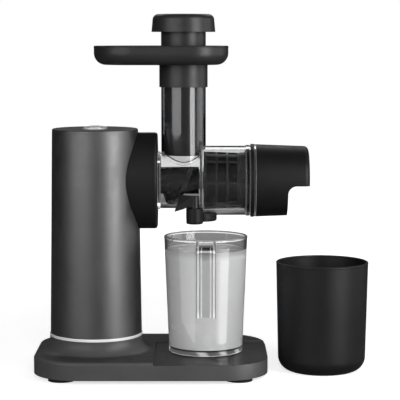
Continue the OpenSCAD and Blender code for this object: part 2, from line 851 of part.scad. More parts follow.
module gear_case_screws() {
    color("silver") at_case_screws(-recess_depth + screw_head_h) rotate([180, 0, 0])
        screw(screw_head_r, screw_head_h, screw_r, case_screw_len);
}

module ring_gear() {
    color("#6f6f72") on_axis(-gear_back) linear_extrude(height = gear_face) difference() {
        circle(r = gear_case_r - gear_case_t - running);
        rotate([0, 0, 180 / ring_teeth]) gear_outline(ring_teeth, 1.15, 0.8, -backlash / 2);
    }
}

module output_bearing() {
    color("silver") on_axis(-wall_back - case_plate) difference() {
        cylinder(r = bearing_r, h = bearing_w);
        translate([0, 0, -1]) cylinder(r = output_r + running, h = bearing_w + 2);
        translate([0, 0, -1]) pipe(bearing_r - 1.5, output_r + 1.5, 1.5);
    }
}

module planet_carrier() {
    color("#a5a6a8") on_axis(-carrier_back) difference() {
        union() {
            cylinder(r = planet_orbit + planet_pin_r + 2, h = carrier_t);
            cylinder(r = output_r + 1.2, h = carrier_t + carrier_gap);
            cylinder(r = output_r, h = carrier_back - 1);
        }
        for (i = [0 : 2]) rotate([0, 0, i * 120]) translate([planet_orbit, 0, -1])
            cylinder(r = planet_pin_r + running / 2, h = carrier_t + 2);
    }
}

module planet_pins() {
    color("silver") on_axis(-gear_back) for (i = [0 : 2]) rotate([0, 0, i * 120])
        translate([planet_orbit, 0, 0])
            cylinder(r = planet_pin_r, h = gear_back - carrier_back + carrier_t);
}

// One planet gear, turned so that its teeth mesh with the sun and the ring at rest
module planet_gear(i) {
    orbit = i * 120;
    sun_phase = orbit * sun_teeth / 360;
    turn = orbit + 180 - (0.5 - sun_phase) * 360 / planet_teeth;
    on_axis(-gear_back) rotate([0, 0, orbit]) translate([planet_orbit, 0, 0])
        rotate([0, 0, turn - orbit]) linear_extrude(height = gear_face) difference() {
            gear_outline(planet_teeth, 0.85, 1.1, backlash);
            circle(r = planet_pin_r + running);
        }
}

module planet_gear_1() { color("#d9d4c4") planet_gear(0); }

module planet_gear_2() { color("#d9d4c4") planet_gear(1); }

module planet_gear_3() { color("#d9d4c4") planet_gear(2); }

module sun_pinion() {
    color("#b08d4a") on_axis(-gear_back) linear_extrude(height = gear_face - carrier_gap)
        difference() {
            gear_outline(sun_teeth, 0.85, 1.1, backlash);
            circle(r = motor_shaft_r + running / 2);
        }
}

// ---- motor ----

motor_back = case_back + motor_len;
bush_r = 5.5;
bush_len = 6;
can_front = 3;
bell_t = 2.5;
magnet_t = 3.8;
air_gap = 0.8;
stack_len = 0.56 * motor_len;
stack_back = case_back + 0.78 * motor_len;
armature_slots = 12;
commutator_r = 6.5;
commutator_len = 4.6;
fan_len = 4;
fan_r = 18;
fan_gap = 0.8;
shaft_back = motor_back + bell_t + fan_gap + fan_len + 1;

module motor_can() {
    color("#9a9b9d") on_axis(-motor_back) difference() {
        cylinder(r = motor_r, h = motor_len);
        difference() {
            translate([0, 0, -1]) cylinder(r = motor_r - motor_t, h = motor_len - can_front + 1);
            translate([0, 0, motor_len - bush_len - 1]) cylinder(r = bush_r + 2.5, h = bush_len + 1);
        }
        cylinder(r = bush_r + running, h = motor_len + 1);
    }
}

module motor_end_bell() {
    color("#2b2b2d") on_axis(-motor_back - bell_t) difference() {
        union() {
            cylinder(r = motor_r, h = bell_t);
            cylinder(r = bush_r + 2.5, h = bush_len);
        }
        translate([0, 0, -1]) cylinder(r = bush_r + running, h = bush_len + 2);
        for (angle = [30 : 60 : 330]) rotate([0, 0, angle]) translate([15.5, 0, -1])
            rotate([0, 0, 90]) slot(9, 2, bell_t + 2);
    }
}

module field_magnets() {
    color("#3c3c40") on_axis(-stack_back) difference() {
        pipe(motor_r - motor_t - running, motor_r - motor_t - magnet_t, stack_len);
        for (turn = [0, 180]) rotate([0, 0, turn + 70]) translate([0, 0, -1])
            cube([motor_r, motor_r * 0.4, stack_len + 2]);
    }
}

module motor_bushes() {
    color("#b5893f") for (u = [-case_back - bush_len, -motor_back - bell_t])
        on_axis(u) pipe(bush_r, motor_shaft_r + running, bush_len);
}

module brush_gear() {
    color("#20201f") for (side = [0, 180]) on_axis(-motor_back) rotate([0, 0, side]) union() {
        translate([-3, bush_r + 2.8, 0]) cube([6, 5.5, motor_back - stack_back - fit]);
        translate([-2, commutator_r + fit, motor_back - stack_back - commutator_len - 0.4])
            cube([4, 4, commutator_len]);
    }
}

module motor_shaft() {
    color("silver") on_axis(-shaft_back)
        cylinder(r = motor_shaft_r, h = shaft_back - gear_front - carrier_gap);
}

module armature() {
    color("#7a5230") on_axis(-stack_back) linear_extrude(height = stack_len) difference() {
        circle(r = motor_r - motor_t - magnet_t - air_gap);
        circle(r = motor_shaft_r + running / 2);
        for (i = [0 : armature_slots - 1]) rotate([0, 0, i * 360 / armature_slots])
            translate([commutator_r + 4, -1.1]) square([motor_r, 2.2]);
    }
}

module commutator() {
    color("#b87333") on_axis(-stack_back - commutator_len - 0.5)
        pipe(commutator_r, motor_shaft_r + running / 2, commutator_len);
}

module cooling_fan() {
    color("#1e1e20") on_axis(-motor_back - bell_t - fan_gap - fan_len) difference() {
        union() {
            cylinder(r = motor_shaft_r + 3, h = fan_len);
            cylinder(r = fan_r, h = 1);
            for (i = [0 : 7]) rotate([0, 0, (i + 0.5) * 45]) translate([motor_shaft_r + 2, -0.6, 0.5])
                cube([fan_r - motor_shaft_r - 3, 1.2, fan_len - 1]);
        }
        translate([0, 0, -1]) cylinder(r = motor_shaft_r + running / 2, h = fan_len + 2);
    }
}

coupling_back = 12.5;
coupling_base = 3;
hex_front = 6;

module drive_coupling() {
    color("#c9c9cb") on_axis(-coupling_back) difference() {
        union() {
            cylinder(r = output_r + 6.5, h = coupling_base);
            cylinder(r = hex_af / 2 / cos(30), h = coupling_back + hex_front, $fn = 6);
        }
        translate([0, 0, -1]) cylinder(r = output_r + running / 2, h = coupling_back);
    }
}

// ---- juicing chamber ----

head_len = feed_len + press_len;
feed_bore = feed_r - chamber_wall;
press_bore = press_r - chamber_wall;
rear_wall = 3;
seal_gap = 1.8;
end_flange_r = press_r + 1.6;
end_flange_t = 1.9;
band_u = head_len - 10.5;
band_len = 4.1;
ring_u = head_len - 5.3;
juice_shift = 7.5;
stub_wall = 1.2;
stub_len = 1.5;
step_edge = 2;

// Outline of the chamber's two sections, turned about the screw's axis and grown by a gap
module chamber_form(gap) {
    on_axis(0) rotate([0, 0, 90]) rotate_extrude() polygon([[0, 0], [feed_r + gap, 0],
        [feed_r + gap, feed_len - gap], [press_r - step_edge + gap, feed_len - gap],
        [press_r + gap, feed_len + step_edge - gap], [press_r + gap, head_len], [0, head_len]]);
}

module juicing_chamber() {
    color([0.85, 0.87, 0.88, 0.35]) difference() {
        union() {
            chamber_form(0);
            on_axis(-spigot_len) cylinder(r = spigot_r, h = spigot_len + 1);
            on_axis(0) cylinder(r = feed_r + 1, h = 2.5);
            on_axis(band_u) cylinder(r = press_r + 0.8, h = band_len);
            on_axis(head_len - end_flange_t) cylinder(r = end_flange_r, h = end_flange_t);
            translate([tube_x, 0, head_z]) cylinder(r = tube_r, h = tube_top);
            translate([outlet_x + juice_shift, 0, head_z - press_r - stub_len])
                cylinder(r = juice_hole_r + stub_wall, h = press_r / 2);
        }
        on_axis(-spigot_len - 1) cylinder(r = spigot_r - spigot_wall, h = spigot_len + 1);
        on_axis(-1) cylinder(r = core_r + seal_gap, h = rear_wall + 2);
        on_axis(rear_wall) cylinder(r = feed_bore, h = feed_len);
        on_axis(feed_len + chamber_wall) cylinder(r = press_bore, h = press_len);
        translate([tube_x, 0, head_z]) cylinder(r = tube_r - tube_wall, h = tube_top + 1);
        translate([outlet_x + juice_shift, 0, head_z - press_r - stub_len - 1])
            cylinder(r = juice_hole_r, h = press_r);
    }
}

module chamber_seal() {
    color("#262626") on_axis(fit) pipe(core_r + seal_gap - running, core_r + fit, rear_wall - fit);
}

module lock_ring() {
    color("#151515") on_axis(ring_u) difference() {
        pipe(end_flange_r + 0.4, press_r + fit, head_len - end_flange_t - fit - ring_u);
    }
}

// ---- screw ----

hub_back = 6.5;
hex_depth = hub_back + hex_front + 0.6;
basket_u = max(feed_len + chamber_wall, tube_offset + tube_r - tube_wall) + fit;
basket_neck_len = 6.9;
cone_len = basket_len - basket_neck_len;
neck_u = feed_len - 1.2;
press_core_u = basket_u - 0.4;
press_core_end = basket_u + basket_len - 5;
press_core_r = core_r + 5.5;
journal_u = press_core_end + 3;
bush_u = head_len + fit;
bush_depth = 9;
bush_wall = 1.9;

// Inside radius of the filter at a place along the screw
function basket_bore(u) = basket_big_r - basket_wall - running - mesh_t
    - (basket_big_r - basket_small_r) * (u - basket_u) / cone_len;

// Radius of the screw's core at a place along it
function core_at(u) = u < press_core_u ? core_r
    : core_r + (press_core_r - core_r) * (u - press_core_u) / (press_core_end - press_core_u);

// A helical flight from u0 to u1: foot and tip are its widths at the core and at its edge
module flight(u0, u1, pitch, foot, tip, start, press) {
    steps = ceil((u1 - u0) / pitch * 48);
    ramp = (u1 - u0) * 0.12;
    sections = [for (i = [0 : steps])
        let (u = u0 + (u1 - u0) * i / steps, a = start - 360 * (u - u0) / pitch,
             grow = min(1, (u - u0) / ramp, (u1 - u) / ramp),
             low = core_at(u) - 1,
             full = (press ? basket_bore(u) : feed_bore) - flight_gap,
             high = core_at(u) - 0.5 + (full - core_at(u) + 0.5) * grow)
        for (p = [[low, -foot / 2], [high, -tip / 2], [high, tip / 2], [low, foot / 2]])
            [p[0] * cos(a), p[0] * sin(a), u + p[1]]];
    walls = [for (i = [0 : steps - 1]) for (j = [0 : 3])
        let (k = (j + 1) % 4) [i * 4 + j, (i + 1) * 4 + j, (i + 1) * 4 + k, i * 4 + k]];
    polyhedron(sections, concat(walls, [[0, 1, 2, 3]], [[for (j = [3 : -1 : 0]) steps * 4 + j]]),
               convexity = 6);
}

module juicing_screw() {
    color("#232324") difference() {
        union() {
            on_axis(-hub_back) cylinder(r = core_r, h = hub_back + neck_u);
            on_axis(neck_u - 1) cylinder(r = neck_r, h = 6);
            on_axis(press_core_u)
                cylinder(r1 = core_r, r2 = press_core_r, h = press_core_end - press_core_u);
            on_axis(press_core_end) cylinder(r1 = press_core_r, r2 = journal_r + 3, h = 3);
            on_axis(journal_u - 1) cylinder(r = journal_r, h = bush_u + bush_depth + 1.5 - journal_u);
            on_axis(0) flight(rear_wall + 4, neck_u - 3, feed_pitch, 9, 5, feed_start, false);
            on_axis(0) flight(press_core_u + 3, press_core_end - 2, press_pitch, 4, 2.2, 0, true);
        }
        on_axis(-hub_back - 1) cylinder(r = (hex_af / 2 + fit) / cos(30), h = hex_depth + 1, $fn = 6);
    }
}

// ---- filter ----

window_rows = 3;
rib_w = 2.4;

module basket_form(grow) {
    cylinder(r1 = basket_big_r + grow, r2 = basket_small_r + grow, h = cone_len);
}

module filter_basket() {
    ring_r2 = basket_big_r - 0.8;
    row_len = (cone_len - 4) / window_rows;
    color("#2a2a2c") on_axis(basket_u) difference() {
        union() {
            basket_form(0);
            translate([0, 0, cone_len - tiny]) cylinder(r = ring_r2, h = basket_len - cone_len + tiny);
            translate([0, 0, basket_len - 1.5]) cylinder(r = press_bore - fit, h = 1.5);
        }
        translate([0, 0, -tiny]) basket_form(-basket_wall);
        translate([0, 0, cone_len - 1])
            cylinder(r = basket_small_r - basket_wall, h = basket_len - cone_len + 2);
        for (i = [0 : basket_ribs - 1]) for (row = [0 : window_rows - 1])
            rotate([0, 0, (i + 0.5) * 360 / basket_ribs])
                translate([neck_r, -PI * basket_small_r / basket_ribs + rib_w / 2, 3 + row * row_len])
                    cube([press_r, 2 * PI * basket_small_r / basket_ribs - rib_w, row_len - 2]);
    }
}

module filter_mesh() {
    color("#8c8c8e") on_axis(basket_u) difference() {
        basket_form(-basket_wall - running);
        translate([0, 0, -tiny]) basket_form(-basket_wall - running - mesh_t);
        translate([0, 0, cone_len - 0.5]) cylinder(r = basket_big_r, h = 1);
    }
}

// ---- pulp cap ----

cap_u = head_len + fit;
cap_front_r = 5;
mouth_r = 8.7;
cap_spigot_u = basket_u + basket_len + fit;
cap_spigot_r = press_bore - fit;
cap_spigot_wall = 2.2;
groove_u = cap_u - 4.5;
groove_len = 2.2;
groove_depth = 1.1;
hub_r = journal_r + bush_wall + 2.4;
arm_w = 3;

module pulp_cap() {
    mouth_u = cap_u + cap_low_len;
    lip_z = head_z - lip_drop;
    color("#1f1f20") difference() {
        union() {
            difference() {
                union() {
                    on_axis(cap_u + cap_len) rotate([180, 0, 0]) rotate_extrude()
                        cap_section(cap_r, cap_nose_r, cap_len, cap_front_r);
                    on_axis(cap_spigot_u) cylinder(r = cap_spigot_r, h = cap_u - cap_spigot_u + 1);
                }
                on_axis(cap_spigot_u - 1)
                    cylinder(r = cap_spigot_r - cap_spigot_wall, h = cap_u - cap_spigot_u + cap_wall + 2);
                // The hollow: all of the lower part, and only the hood beyond the weir
                on_axis(cap_u) difference() {
                    translate([0, 0, cap_len - cap_wall]) rotate([180, 0, 0]) rotate_extrude()
                        cap_section(cap_r - cap_wall, cap_nose_r - cap_wall,
                                    cap_len - 2 * cap_wall, cap_front_r - cap_wall);
                    translate([lip_drop, -cap_r, cap_low_len - cap_wall])
                        cube([cap_r, 2 * cap_r, cap_len]);
                }
            }
            // Spider that carries the screw's front bush
            intersection() {
                on_axis(cap_u) cylinder(r = cap_r - cap_wall / 2, h = bush_depth);
                on_axis(cap_u) union() {
                    cylinder(r = hub_r, h = bush_depth);
                    for (angle = [0, 120, 240]) rotate([0, 0, angle])
                        translate([0, -arm_w / 2, 0]) cube([cap_r, arm_w, bush_depth - 2]);
                }
            }
        }
        on_axis(cap_u - 1) cylinder(r = journal_r + bush_wall + running, h = bush_depth + 2);
        on_axis(groove_u) pipe(cap_r, cap_spigot_r - groove_depth, groove_len);
        // The mouth below the hood, with a round inner corner
        translate([head_x + mouth_u, cap_r + 1, lip_z - 2 * cap_r]) rotate([90, 0, 0])
            linear_extrude(height = 2 * cap_r + 2) union() {
                translate([mouth_r, 0]) square([cap_len, 2 * cap_r]);
                square([cap_len, 2 * cap_r - mouth_r]);
                translate([mouth_r, 2 * cap_r - mouth_r]) circle(r = mouth_r);
            }
    }
}

module cap_seal() {
    color("#5b5b5b") on_axis(groove_u + running)
        pipe(cap_spigot_r, cap_spigot_r - groove_depth + running, groove_len - 2 * running);
}

module nose_bush() {
    color("#d8d3c0") on_axis(cap_u) pipe(journal_r + bush_wall, journal_r + running, bush_depth);
}

// ---- juice outlet ----

outlet_low = head_z - outlet_drop;
pivot_x = outlet_x - 7;
pivot_y = -(feed_r + 2.5);
ear_r = pivot_r + 2.5;
ear_top = head_z - 26;
lever_t = 7;
lever_top = 13.5;
lever_slope = [59.3, 247.5];
flap_edge_r = 0.7 * flap_t;
flap_seal_r = juice_hole_r + 2;
flap_seal_t = 1;
pin_floor = 0.7;

module juice_outlet() {
    color("#171718") difference() {
        union() {
            translate([outlet_x, 0, outlet_low])
                cylinder(r = outlet_r, h = head_z - feed_r / 2 - outlet_low);
            translate([pivot_x, pivot_y, outlet_low])
                cylinder(r = pivot_hub_r, h = ear_top - outlet_low);
            translate([pivot_x - ear_r, pivot_y, outlet_low])
                cube([2 * ear_r, -pivot_y - outlet_r / 2, ear_top - outlet_low]);
        }
        chamber_form(fit);
        translate([outlet_x + juice_shift, 0, outlet_low - 1]) cylinder(r = juice_hole_r, h = press_r);
        translate([outlet_x + juice_shift, 0, head_z - press_r - stub_len - fit])
            cylinder(r = juice_hole_r + stub_wall + fit, h = press_r);
        translate([pivot_x, pivot_y, outlet_low - 1])
            cylinder(r = pivot_r + running, h = ear_top - outlet_low + 2);
    }
}

module drip_lever() {
    color("#3d3d3f") translate([pivot_x, pivot_y, 0]) difference() {
        union() {
            translate([0, 0, ear_top + fit])
                cylinder(r = ear_r, h = head_z - lever_top - ear_top - fit);
            // The thumb paddle: a wedge whose front is cut back towards its upper edge
            difference() {
                translate([0, lever_t / 2, head_z]) rotate([90, 0, 0])
                    linear_extrude(height = lever_t)
                        polygon([[-20.7, -29.2], [-19.7, -26.7], [-14.3, -12.3], [0, -lever_top],
                                 [0, -24.2], [-9.2, -25], [-10.4, -26.2]]);
                translate([-19.7, -lever_t / 2, head_z - 26.7])
                    rotate([0, lever_slope[0], lever_slope[1]])
                        translate([-40, -40, 0.8]) cube([80, 80, 40]);
            }
        }
        translate([0, 0, ear_top]) cylinder(r = pivot_r + running / 2, h = head_z - ear_top);
    }
}

module lever_pin() {
    pin_low = outlet_low - fit - flap_t + pin_floor;
    color("silver") translate([pivot_x, pivot_y, pin_low])
        cylinder(r = pivot_r, h = head_z - lever_top - pin_low);
}

module drip_flap() {
    reach = [outlet_x - pivot_x, -pivot_y];
    color("#222223") translate([pivot_x, pivot_y, outlet_low - fit - flap_t]) difference() {
        union() {
            rotate_extrude() side_section(pivot_hub_r, flap_t, flap_edge_r);
            rotate([0, 0, atan2(reach[1], reach[0])]) translate([0, -ear_r, 0])
                cube([norm(reach), 2 * ear_r, flap_t]);
            translate([reach[0], reach[1], 0]) rotate_extrude()
                side_section(outlet_r, flap_t, flap_edge_r);
        }
        translate([0, 0, pin_floor]) cylinder(r = pivot_r + running / 2, h = flap_t);
        translate([reach[0] + juice_shift, reach[1], flap_t - flap_seal_t])
            cylinder(r = flap_seal_r + running, h = flap_t);
    }
}

module flap_seal() {
    color("#6a6a6a") translate([outlet_x + juice_shift, 0, outlet_low - fit - flap_seal_t])
        cylinder(r = flap_seal_r, h = flap_seal_t + fit / 2);
}

// ---- tray and pusher ----

tube_rim = head_z + tube_top;
ledge_t = 2;
collar_low = tube_rim - collar_grip;
tray_z = collar_low + collar_len;
shoulder_z = tube_rim + ledge_t + 2 * fit;
cap_low = shoulder_z + pusher_neck_len;
plunger_bottom_r = 2;
tray_bead_r = tray_wall / 2 + rim_extra;
pusher_cap_taper = 1.1;

module feed_tray() {
    color("#2c2c2e") difference() {
        union() {
            translate([tube_x - tray_shift, 0, tray_z + tray_h - tray_bead_r])
                soft_rim(tray_len, tray_depth, tray_corner_r, tray_wall, tray_bead_r);
            translate([tube_x - tray_shift, 0, tray_z]) difference() {
                soft_block(tray_len, tray_depth, tray_h - tray_bead_r, tray_corner_r, tray_edge_r);
                translate([0, 0, tray_wall])
                    soft_block(tray_len - 2 * tray_wall, tray_depth - 2 * tray_wall, tray_h,
                               tray_corner_r - tray_wall, tray_edge_r - tray_wall);
            }
            translate([tube_x, 0, collar_low]) cylinder(r = collar_r, h = collar_len + tray_wall / 2);
        }
        translate([tube_x, 0, collar_low - 1]) cylinder(r = tube_r + fit, h = collar_grip + fit + 1);
        translate([tube_x, 0, collar_low]) cylinder(r = tube_r - tube_wall, h = collar_len);
        translate([tube_x, 0, tube_rim + fit + ledge_t]) cylinder(r = tube_r + fit, h = collar_len);
    }
}

module pusher_body() {
    top = cap_low + pusher_cap_h - pusher_wall - fit;
    color("#39393b") translate([tube_x, 0, 0]) difference() {
        union() {
            translate([0, 0, shoulder_z - plunger_len]) rotate_extrude()
                side_section(plunger_r, plunger_len + 1, plunger_bottom_r);
            translate([0, 0, shoulder_z]) cylinder(r = tube_r, h = top - shoulder_z);
        }
        translate([0, 0, shoulder_z - plunger_len + pusher_wall])
            cylinder(r = plunger_r - pusher_wall, h = plunger_len + pusher_neck_len + pusher_cap_h);
        translate([0, 0, shoulder_z + pusher_wall])
            cylinder(r = tube_r - pusher_wall, h = pusher_neck_len + pusher_cap_h);
    }
}

module pusher_cap() {
    plug_r = tube_r - pusher_wall - fit;
    nose_r = pusher_cap_r - pusher_cap_taper;
    color("#3f3f41") translate([tube_x, 0, cap_low]) union() {
        difference() {
            translate([0, 0, pusher_cap_h]) rotate([180, 0, 0]) rotate_extrude()
                cap_section(pusher_cap_r, nose_r, pusher_cap_h, pusher_edge_r);
            translate([0, 0, pusher_cap_h - pusher_wall]) rotate([180, 0, 0]) rotate_extrude()
                cap_section(pusher_cap_r - pusher_wall, nose_r - pusher_wall, pusher_cap_h,
                            pusher_edge_r - pusher_wall);
        }
        pipe(plug_r, plug_r - pusher_wall, pusher_cap_h - pusher_wall / 2);
    }
}

// ---- jug and cup ----

handle_t = 3;
handle_flange = 7;
handle_side = 2.4;
handle_bend = 14;
handle_drop = 1;
jug_bottom_r = 2;
jug_bead_r = jug_wall / 2 + rim_extra;
cup_bead_r = cup_wall / 2 + rim_extra;

// The hook of the handle seen from the side, in front of the rim: its outline drawn in by skip
module hook_section(skip, t) {
    bend_y = -(jug_top_r + handle_reach - handle_bend);
    bend_z = jug_h - handle_drop - handle_bend;
    outer = handle_bend - skip;
    union() {
        translate([bend_y, bend_z + outer - t]) square([handle_reach - handle_bend + 1.5, t]);
        translate([bend_y - outer, handle_gap]) square([t, bend_z - handle_gap]);
        intersection() {
            translate([bend_y, bend_z]) difference() {
                circle(r = outer);
                circle(r = outer - t);
            }
            translate([bend_y - outer, bend_z]) square([outer, outer]);
        }
    }
}

module juice_jug() {
    color([0.86, 0.88, 0.89, 0.35]) translate([jug_x, 0, bay_top]) union() {
        difference() {
            union() {
                rotate_extrude() side_section(jug_foot_r, 2 * jug_bottom_r, jug_bottom_r);
                translate([0, 0, 2 * jug_bottom_r - tiny])
                    cylinder(r1 = jug_foot_r, r2 = jug_top_r,
                             h = jug_h - jug_bead_r - 2 * jug_bottom_r + tiny);
                // The handle is a channel: a web between two flanges that stand out from it
                translate([-handle_w / 2, 0, 0]) rotate([90, 0, 90])
                    linear_extrude(height = handle_w)
                        hook_section(handle_flange - handle_t, handle_t);
                for (x = [-handle_w / 2, handle_w / 2 - handle_side])
                    translate([x, 0, 0]) rotate([90, 0, 90])
                        linear_extrude(height = handle_side) hook_section(0, handle_flange);
            }
            translate([0, 0, jug_floor])
                cylinder(r1 = jug_foot_r - jug_wall, r2 = jug_top_r - jug_wall,
                         h = jug_h - jug_bead_r - jug_floor + tiny);
        }
        translate([0, 0, jug_h - jug_bead_r]) round_rim(jug_top_r, jug_wall, jug_bead_r);
    }
}

module pulp_cup() {
    wall_h = cup_h - cup_bead_r - cup_edge_r;
    color("#19191a") translate([cup_x, 0, 0]) union() {
        difference() {
            union() {
                rotate_extrude() side_section(cup_foot_r, cup_edge_r + 1, cup_edge_r);
                translate([0, 0, cup_edge_r])
                    cylinder(r1 = cup_foot_r, r2 = cup_top_r, h = wall_h);
            }
            translate([0, 0, cup_wall]) rotate_extrude()
                side_section(cup_foot_r - cup_wall, cup_edge_r - cup_wall + 1, cup_edge_r - cup_wall);
            translate([0, 0, cup_edge_r])
                cylinder(r1 = cup_foot_r - cup_wall, r2 = cup_top_r - cup_wall, h = wall_h + tiny);
        }
        translate([0, 0, cup_h - cup_bead_r]) round_rim(cup_top_r, cup_wall, cup_bead_r);
    }
}

base_shell();
bottom_cover();
rubber_feet();
foot_screws();
cord_inlet();
trim_ring();
inner_frame();
frame_screws();
tower_sleeve();
tower_cap();
control_bezel();
start_button();
reverse_button();
start_spring();
reverse_spring();
control_board();
push_switches();
board_screws();
socket_housing();
socket_screws();
shaft_seal();
gear_case();
gear_case_screws();
ring_gear();
output_bearing();
planet_carrier();
planet_pins();
planet_gear_1();
planet_gear_2();
planet_gear_3();
sun_pinion();
motor_can();
motor_end_bell();
field_magnets();
motor_bushes();
brush_gear();
motor_shaft();
armature();
commutator();
cooling_fan();
drive_coupling();
juicing_chamber();
chamber_seal();
lock_ring();
juicing_screw();
filter_basket();
filter_mesh();
pulp_cap();
cap_seal();
nose_bush();
juice_outlet();
drip_lever();
lever_pin();
drip_flap();
flap_seal();
feed_tray();
pusher_body();
pusher_cap();
juice_jug();
pulp_cup();
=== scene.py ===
import math

import bmesh
import bpy
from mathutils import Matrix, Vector


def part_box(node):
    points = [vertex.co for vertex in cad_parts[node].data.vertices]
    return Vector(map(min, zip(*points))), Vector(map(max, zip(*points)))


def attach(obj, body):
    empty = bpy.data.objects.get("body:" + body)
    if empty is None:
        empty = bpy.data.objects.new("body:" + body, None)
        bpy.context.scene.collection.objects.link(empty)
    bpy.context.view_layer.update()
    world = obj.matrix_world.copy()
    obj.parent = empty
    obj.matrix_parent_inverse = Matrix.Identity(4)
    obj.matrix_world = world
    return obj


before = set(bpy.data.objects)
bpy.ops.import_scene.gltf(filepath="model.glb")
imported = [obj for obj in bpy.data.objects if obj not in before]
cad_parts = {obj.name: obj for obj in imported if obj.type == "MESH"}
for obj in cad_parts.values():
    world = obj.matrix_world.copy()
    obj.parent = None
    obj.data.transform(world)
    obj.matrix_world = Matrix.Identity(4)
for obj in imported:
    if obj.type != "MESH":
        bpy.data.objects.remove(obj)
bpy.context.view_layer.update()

# ---- View -----------------------------------------------------------------
# The set is seen from straight in front and a little above, with a long lens
# that looks slightly down, so that the rims of the jug and the cup open up.
# Sizes are in metres here and below, and look_down is in degrees.

view_place = (-0.0023, -1.6195, 0.3472)
look_down = 5.915
lens_data = bpy.data.cameras.new("view")
lens_data.sensor_width = 36
lens_data.lens = 140.6
view = bpy.data.objects.new("view", lens_data)
view.location = view_place
view.rotation_euler = (math.radians(90 - look_down), 0, 0)
bpy.context.scene.collection.objects.link(view)
bpy.context.scene.camera = view
bpy.context.scene.view_settings.view_transform = "Standard"


# ---- Studio ---------------------------------------------------------------
# A white table in a dark room that only looks white. Soft boxes stand on both
# sides, high behind the set and in front of it. Two small lamps near the base
# draw the stripes on the jug.

def soft_box(name, place, target, width, height, watts):
    """A rectangular area light at a place, turned towards a target."""
    data = bpy.data.lights.new(name, "AREA")
    data.shape = "RECTANGLE"
    data.size = width
    data.size_y = height
    data.energy = watts
    lamp = bpy.data.objects.new(name, data)
    lamp.location = place
    lamp.rotation_euler = (Vector(target) - Vector(place)).to_track_quat("-Z", "Y").to_euler()
    lamp.visible_camera = False
    bpy.context.scene.collection.objects.link(lamp)
    return lamp


soft_box("key_box", (0.60, -0.55, 0.40), (-0.03, 0, 0.20), width=0.42, height=0.90, watts=6.0)
soft_box("fill_box", (-0.93, -1.21, 0.58), (-0.05, 0, 0.20), width=1.48, height=0.90, watts=8.9)
soft_box("side_box", (1.30, 0.15, 0.35), (0.12, 0, 0.15), width=1.00, height=0.90, watts=3.0)
soft_box("back_box", (0.0, 1.5, 1.35), (0, 0, 0.10), width=1.80, height=0.60, watts=5.5)
front_box = soft_box("front_box", (0.1, -2.2, 0.85), (0, 0, 0.12), width=0.80, height=0.40, watts=22)
front_box.visible_glossy = False
front_box.visible_transmission = False

jug_low, jug_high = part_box("juice_jug")
jug_x = round((jug_low.x + jug_high.x) / 2, 4)
stripe_z = 0.056
stripe_height = 0.107


def stripe_lamp(name, x, y, width, watts, mirrors):
    """A low lamp that faces the jug and shows only as gloss on the nodes in mirrors."""
    lamp = soft_box(name, (x, y, stripe_z), (jug_x, 0, stripe_z), width, stripe_height, watts)
    lamp.visible_diffuse = False
    lamp.visible_transmission = False
    lit = bpy.data.collections.new(name + "_mirrors")
    for node in mirrors:
        lit.objects.link(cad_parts[node])
    lamp.light_linking.receiver_collection = lit
    return lamp


def put(tree, kind, place, values=None, **settings):
    """Adds a shader node at a place on the sheet, with its properties and the values of its sockets."""
    made = tree.nodes.new("ShaderNode" + kind)
    made.location = place
    for key, value in settings.items():
        setattr(made, key, value)
    for socket, value in (values or {}).items():
        made.inputs[socket].default_value = value
    return made


def fade_across(lamp, dim, full_at):
    """Lets a lamp's face rise from dim at one side to full at a share of its width."""
    lamp.data.use_nodes = True
    tree = lamp.data.node_tree
    face = put(tree, "NewGeometry", (-700, 0))
    across = put(tree, "SeparateXYZ", (-500, 0))
    fade = put(tree, "MapRange", (-300, 0), {"From Max": full_at, "To Min": dim},
               interpolation_type="SMOOTHSTEP")
    tree.links.new(face.outputs["Parametric"], across.inputs[0])
    tree.links.new(across.outputs["X"], fade.inputs["Value"])
    tree.links.new(fade.outputs[0], tree.nodes["Emission"].inputs["Strength"])


low_right = stripe_lamp("low_right", x=0.1053, y=-0.1090, width=0.088, watts=0.191,
                        mirrors=("juice_jug", "base_shell"))
fade_across(low_right, dim=0.15, full_at=0.55)
stripe_lamp("low_left", x=-0.111, y=-0.096, width=0.12, watts=0.093, mirrors=("juice_jug",))


def sight(tree, x, y):
    """Light Path, with a mask that is 1 where the set is seen through clear pieces only."""
    path = put(tree, "LightPath", (x, y))
    no_mirror = put(tree, "Math", (x + 180, y - 150), {1: 0.5}, operation="LESS_THAN")
    through = put(tree, "Math", (x + 360, y - 100), operation="MULTIPLY")
    tree.links.new(path.outputs["Glossy Depth"], no_mirror.inputs[0])
    tree.links.new(path.outputs["Is Transmission Ray"], through.inputs[0])
    tree.links.new(no_mirror.outputs[0], through.inputs[1])
    return path, through.outputs[0]


def pale_room():
    """A room that looks white, also through clear pieces, but hardly lights the set."""
    room = bpy.data.worlds.new("room")
    room.use_nodes = True
    tree = room.node_tree
    tree.nodes.clear()
    path, through = sight(tree, -900, 0)
    in_mirrors, ambient = 0.03, 0.01
    dim = put(tree, "Math", (-350, -250), {1: in_mirrors, 2: ambient}, operation="MULTIPLY_ADD")
    seen = put(tree, "Math", (-350, 0), operation="MAXIMUM")
    level = put(tree, "Math", (-150, -100), operation="MAXIMUM")
    air = put(tree, "Background", (50, 0), {"Color": (1, 1, 1, 1)})
    out = put(tree, "OutputWorld", (250, 0))
    link = tree.links.new
    link(path.outputs["Is Glossy Ray"], dim.inputs[0])
    link(path.outputs["Is Camera Ray"], seen.inputs[0])
    link(through, seen.inputs[1])
    link(seen.outputs[0], level.inputs[0])
    link(dim.outputs[0], level.inputs[1])
    link(level.outputs[0], air.inputs["Strength"])
    link(air.outputs[0], out.inputs[0])
    return room


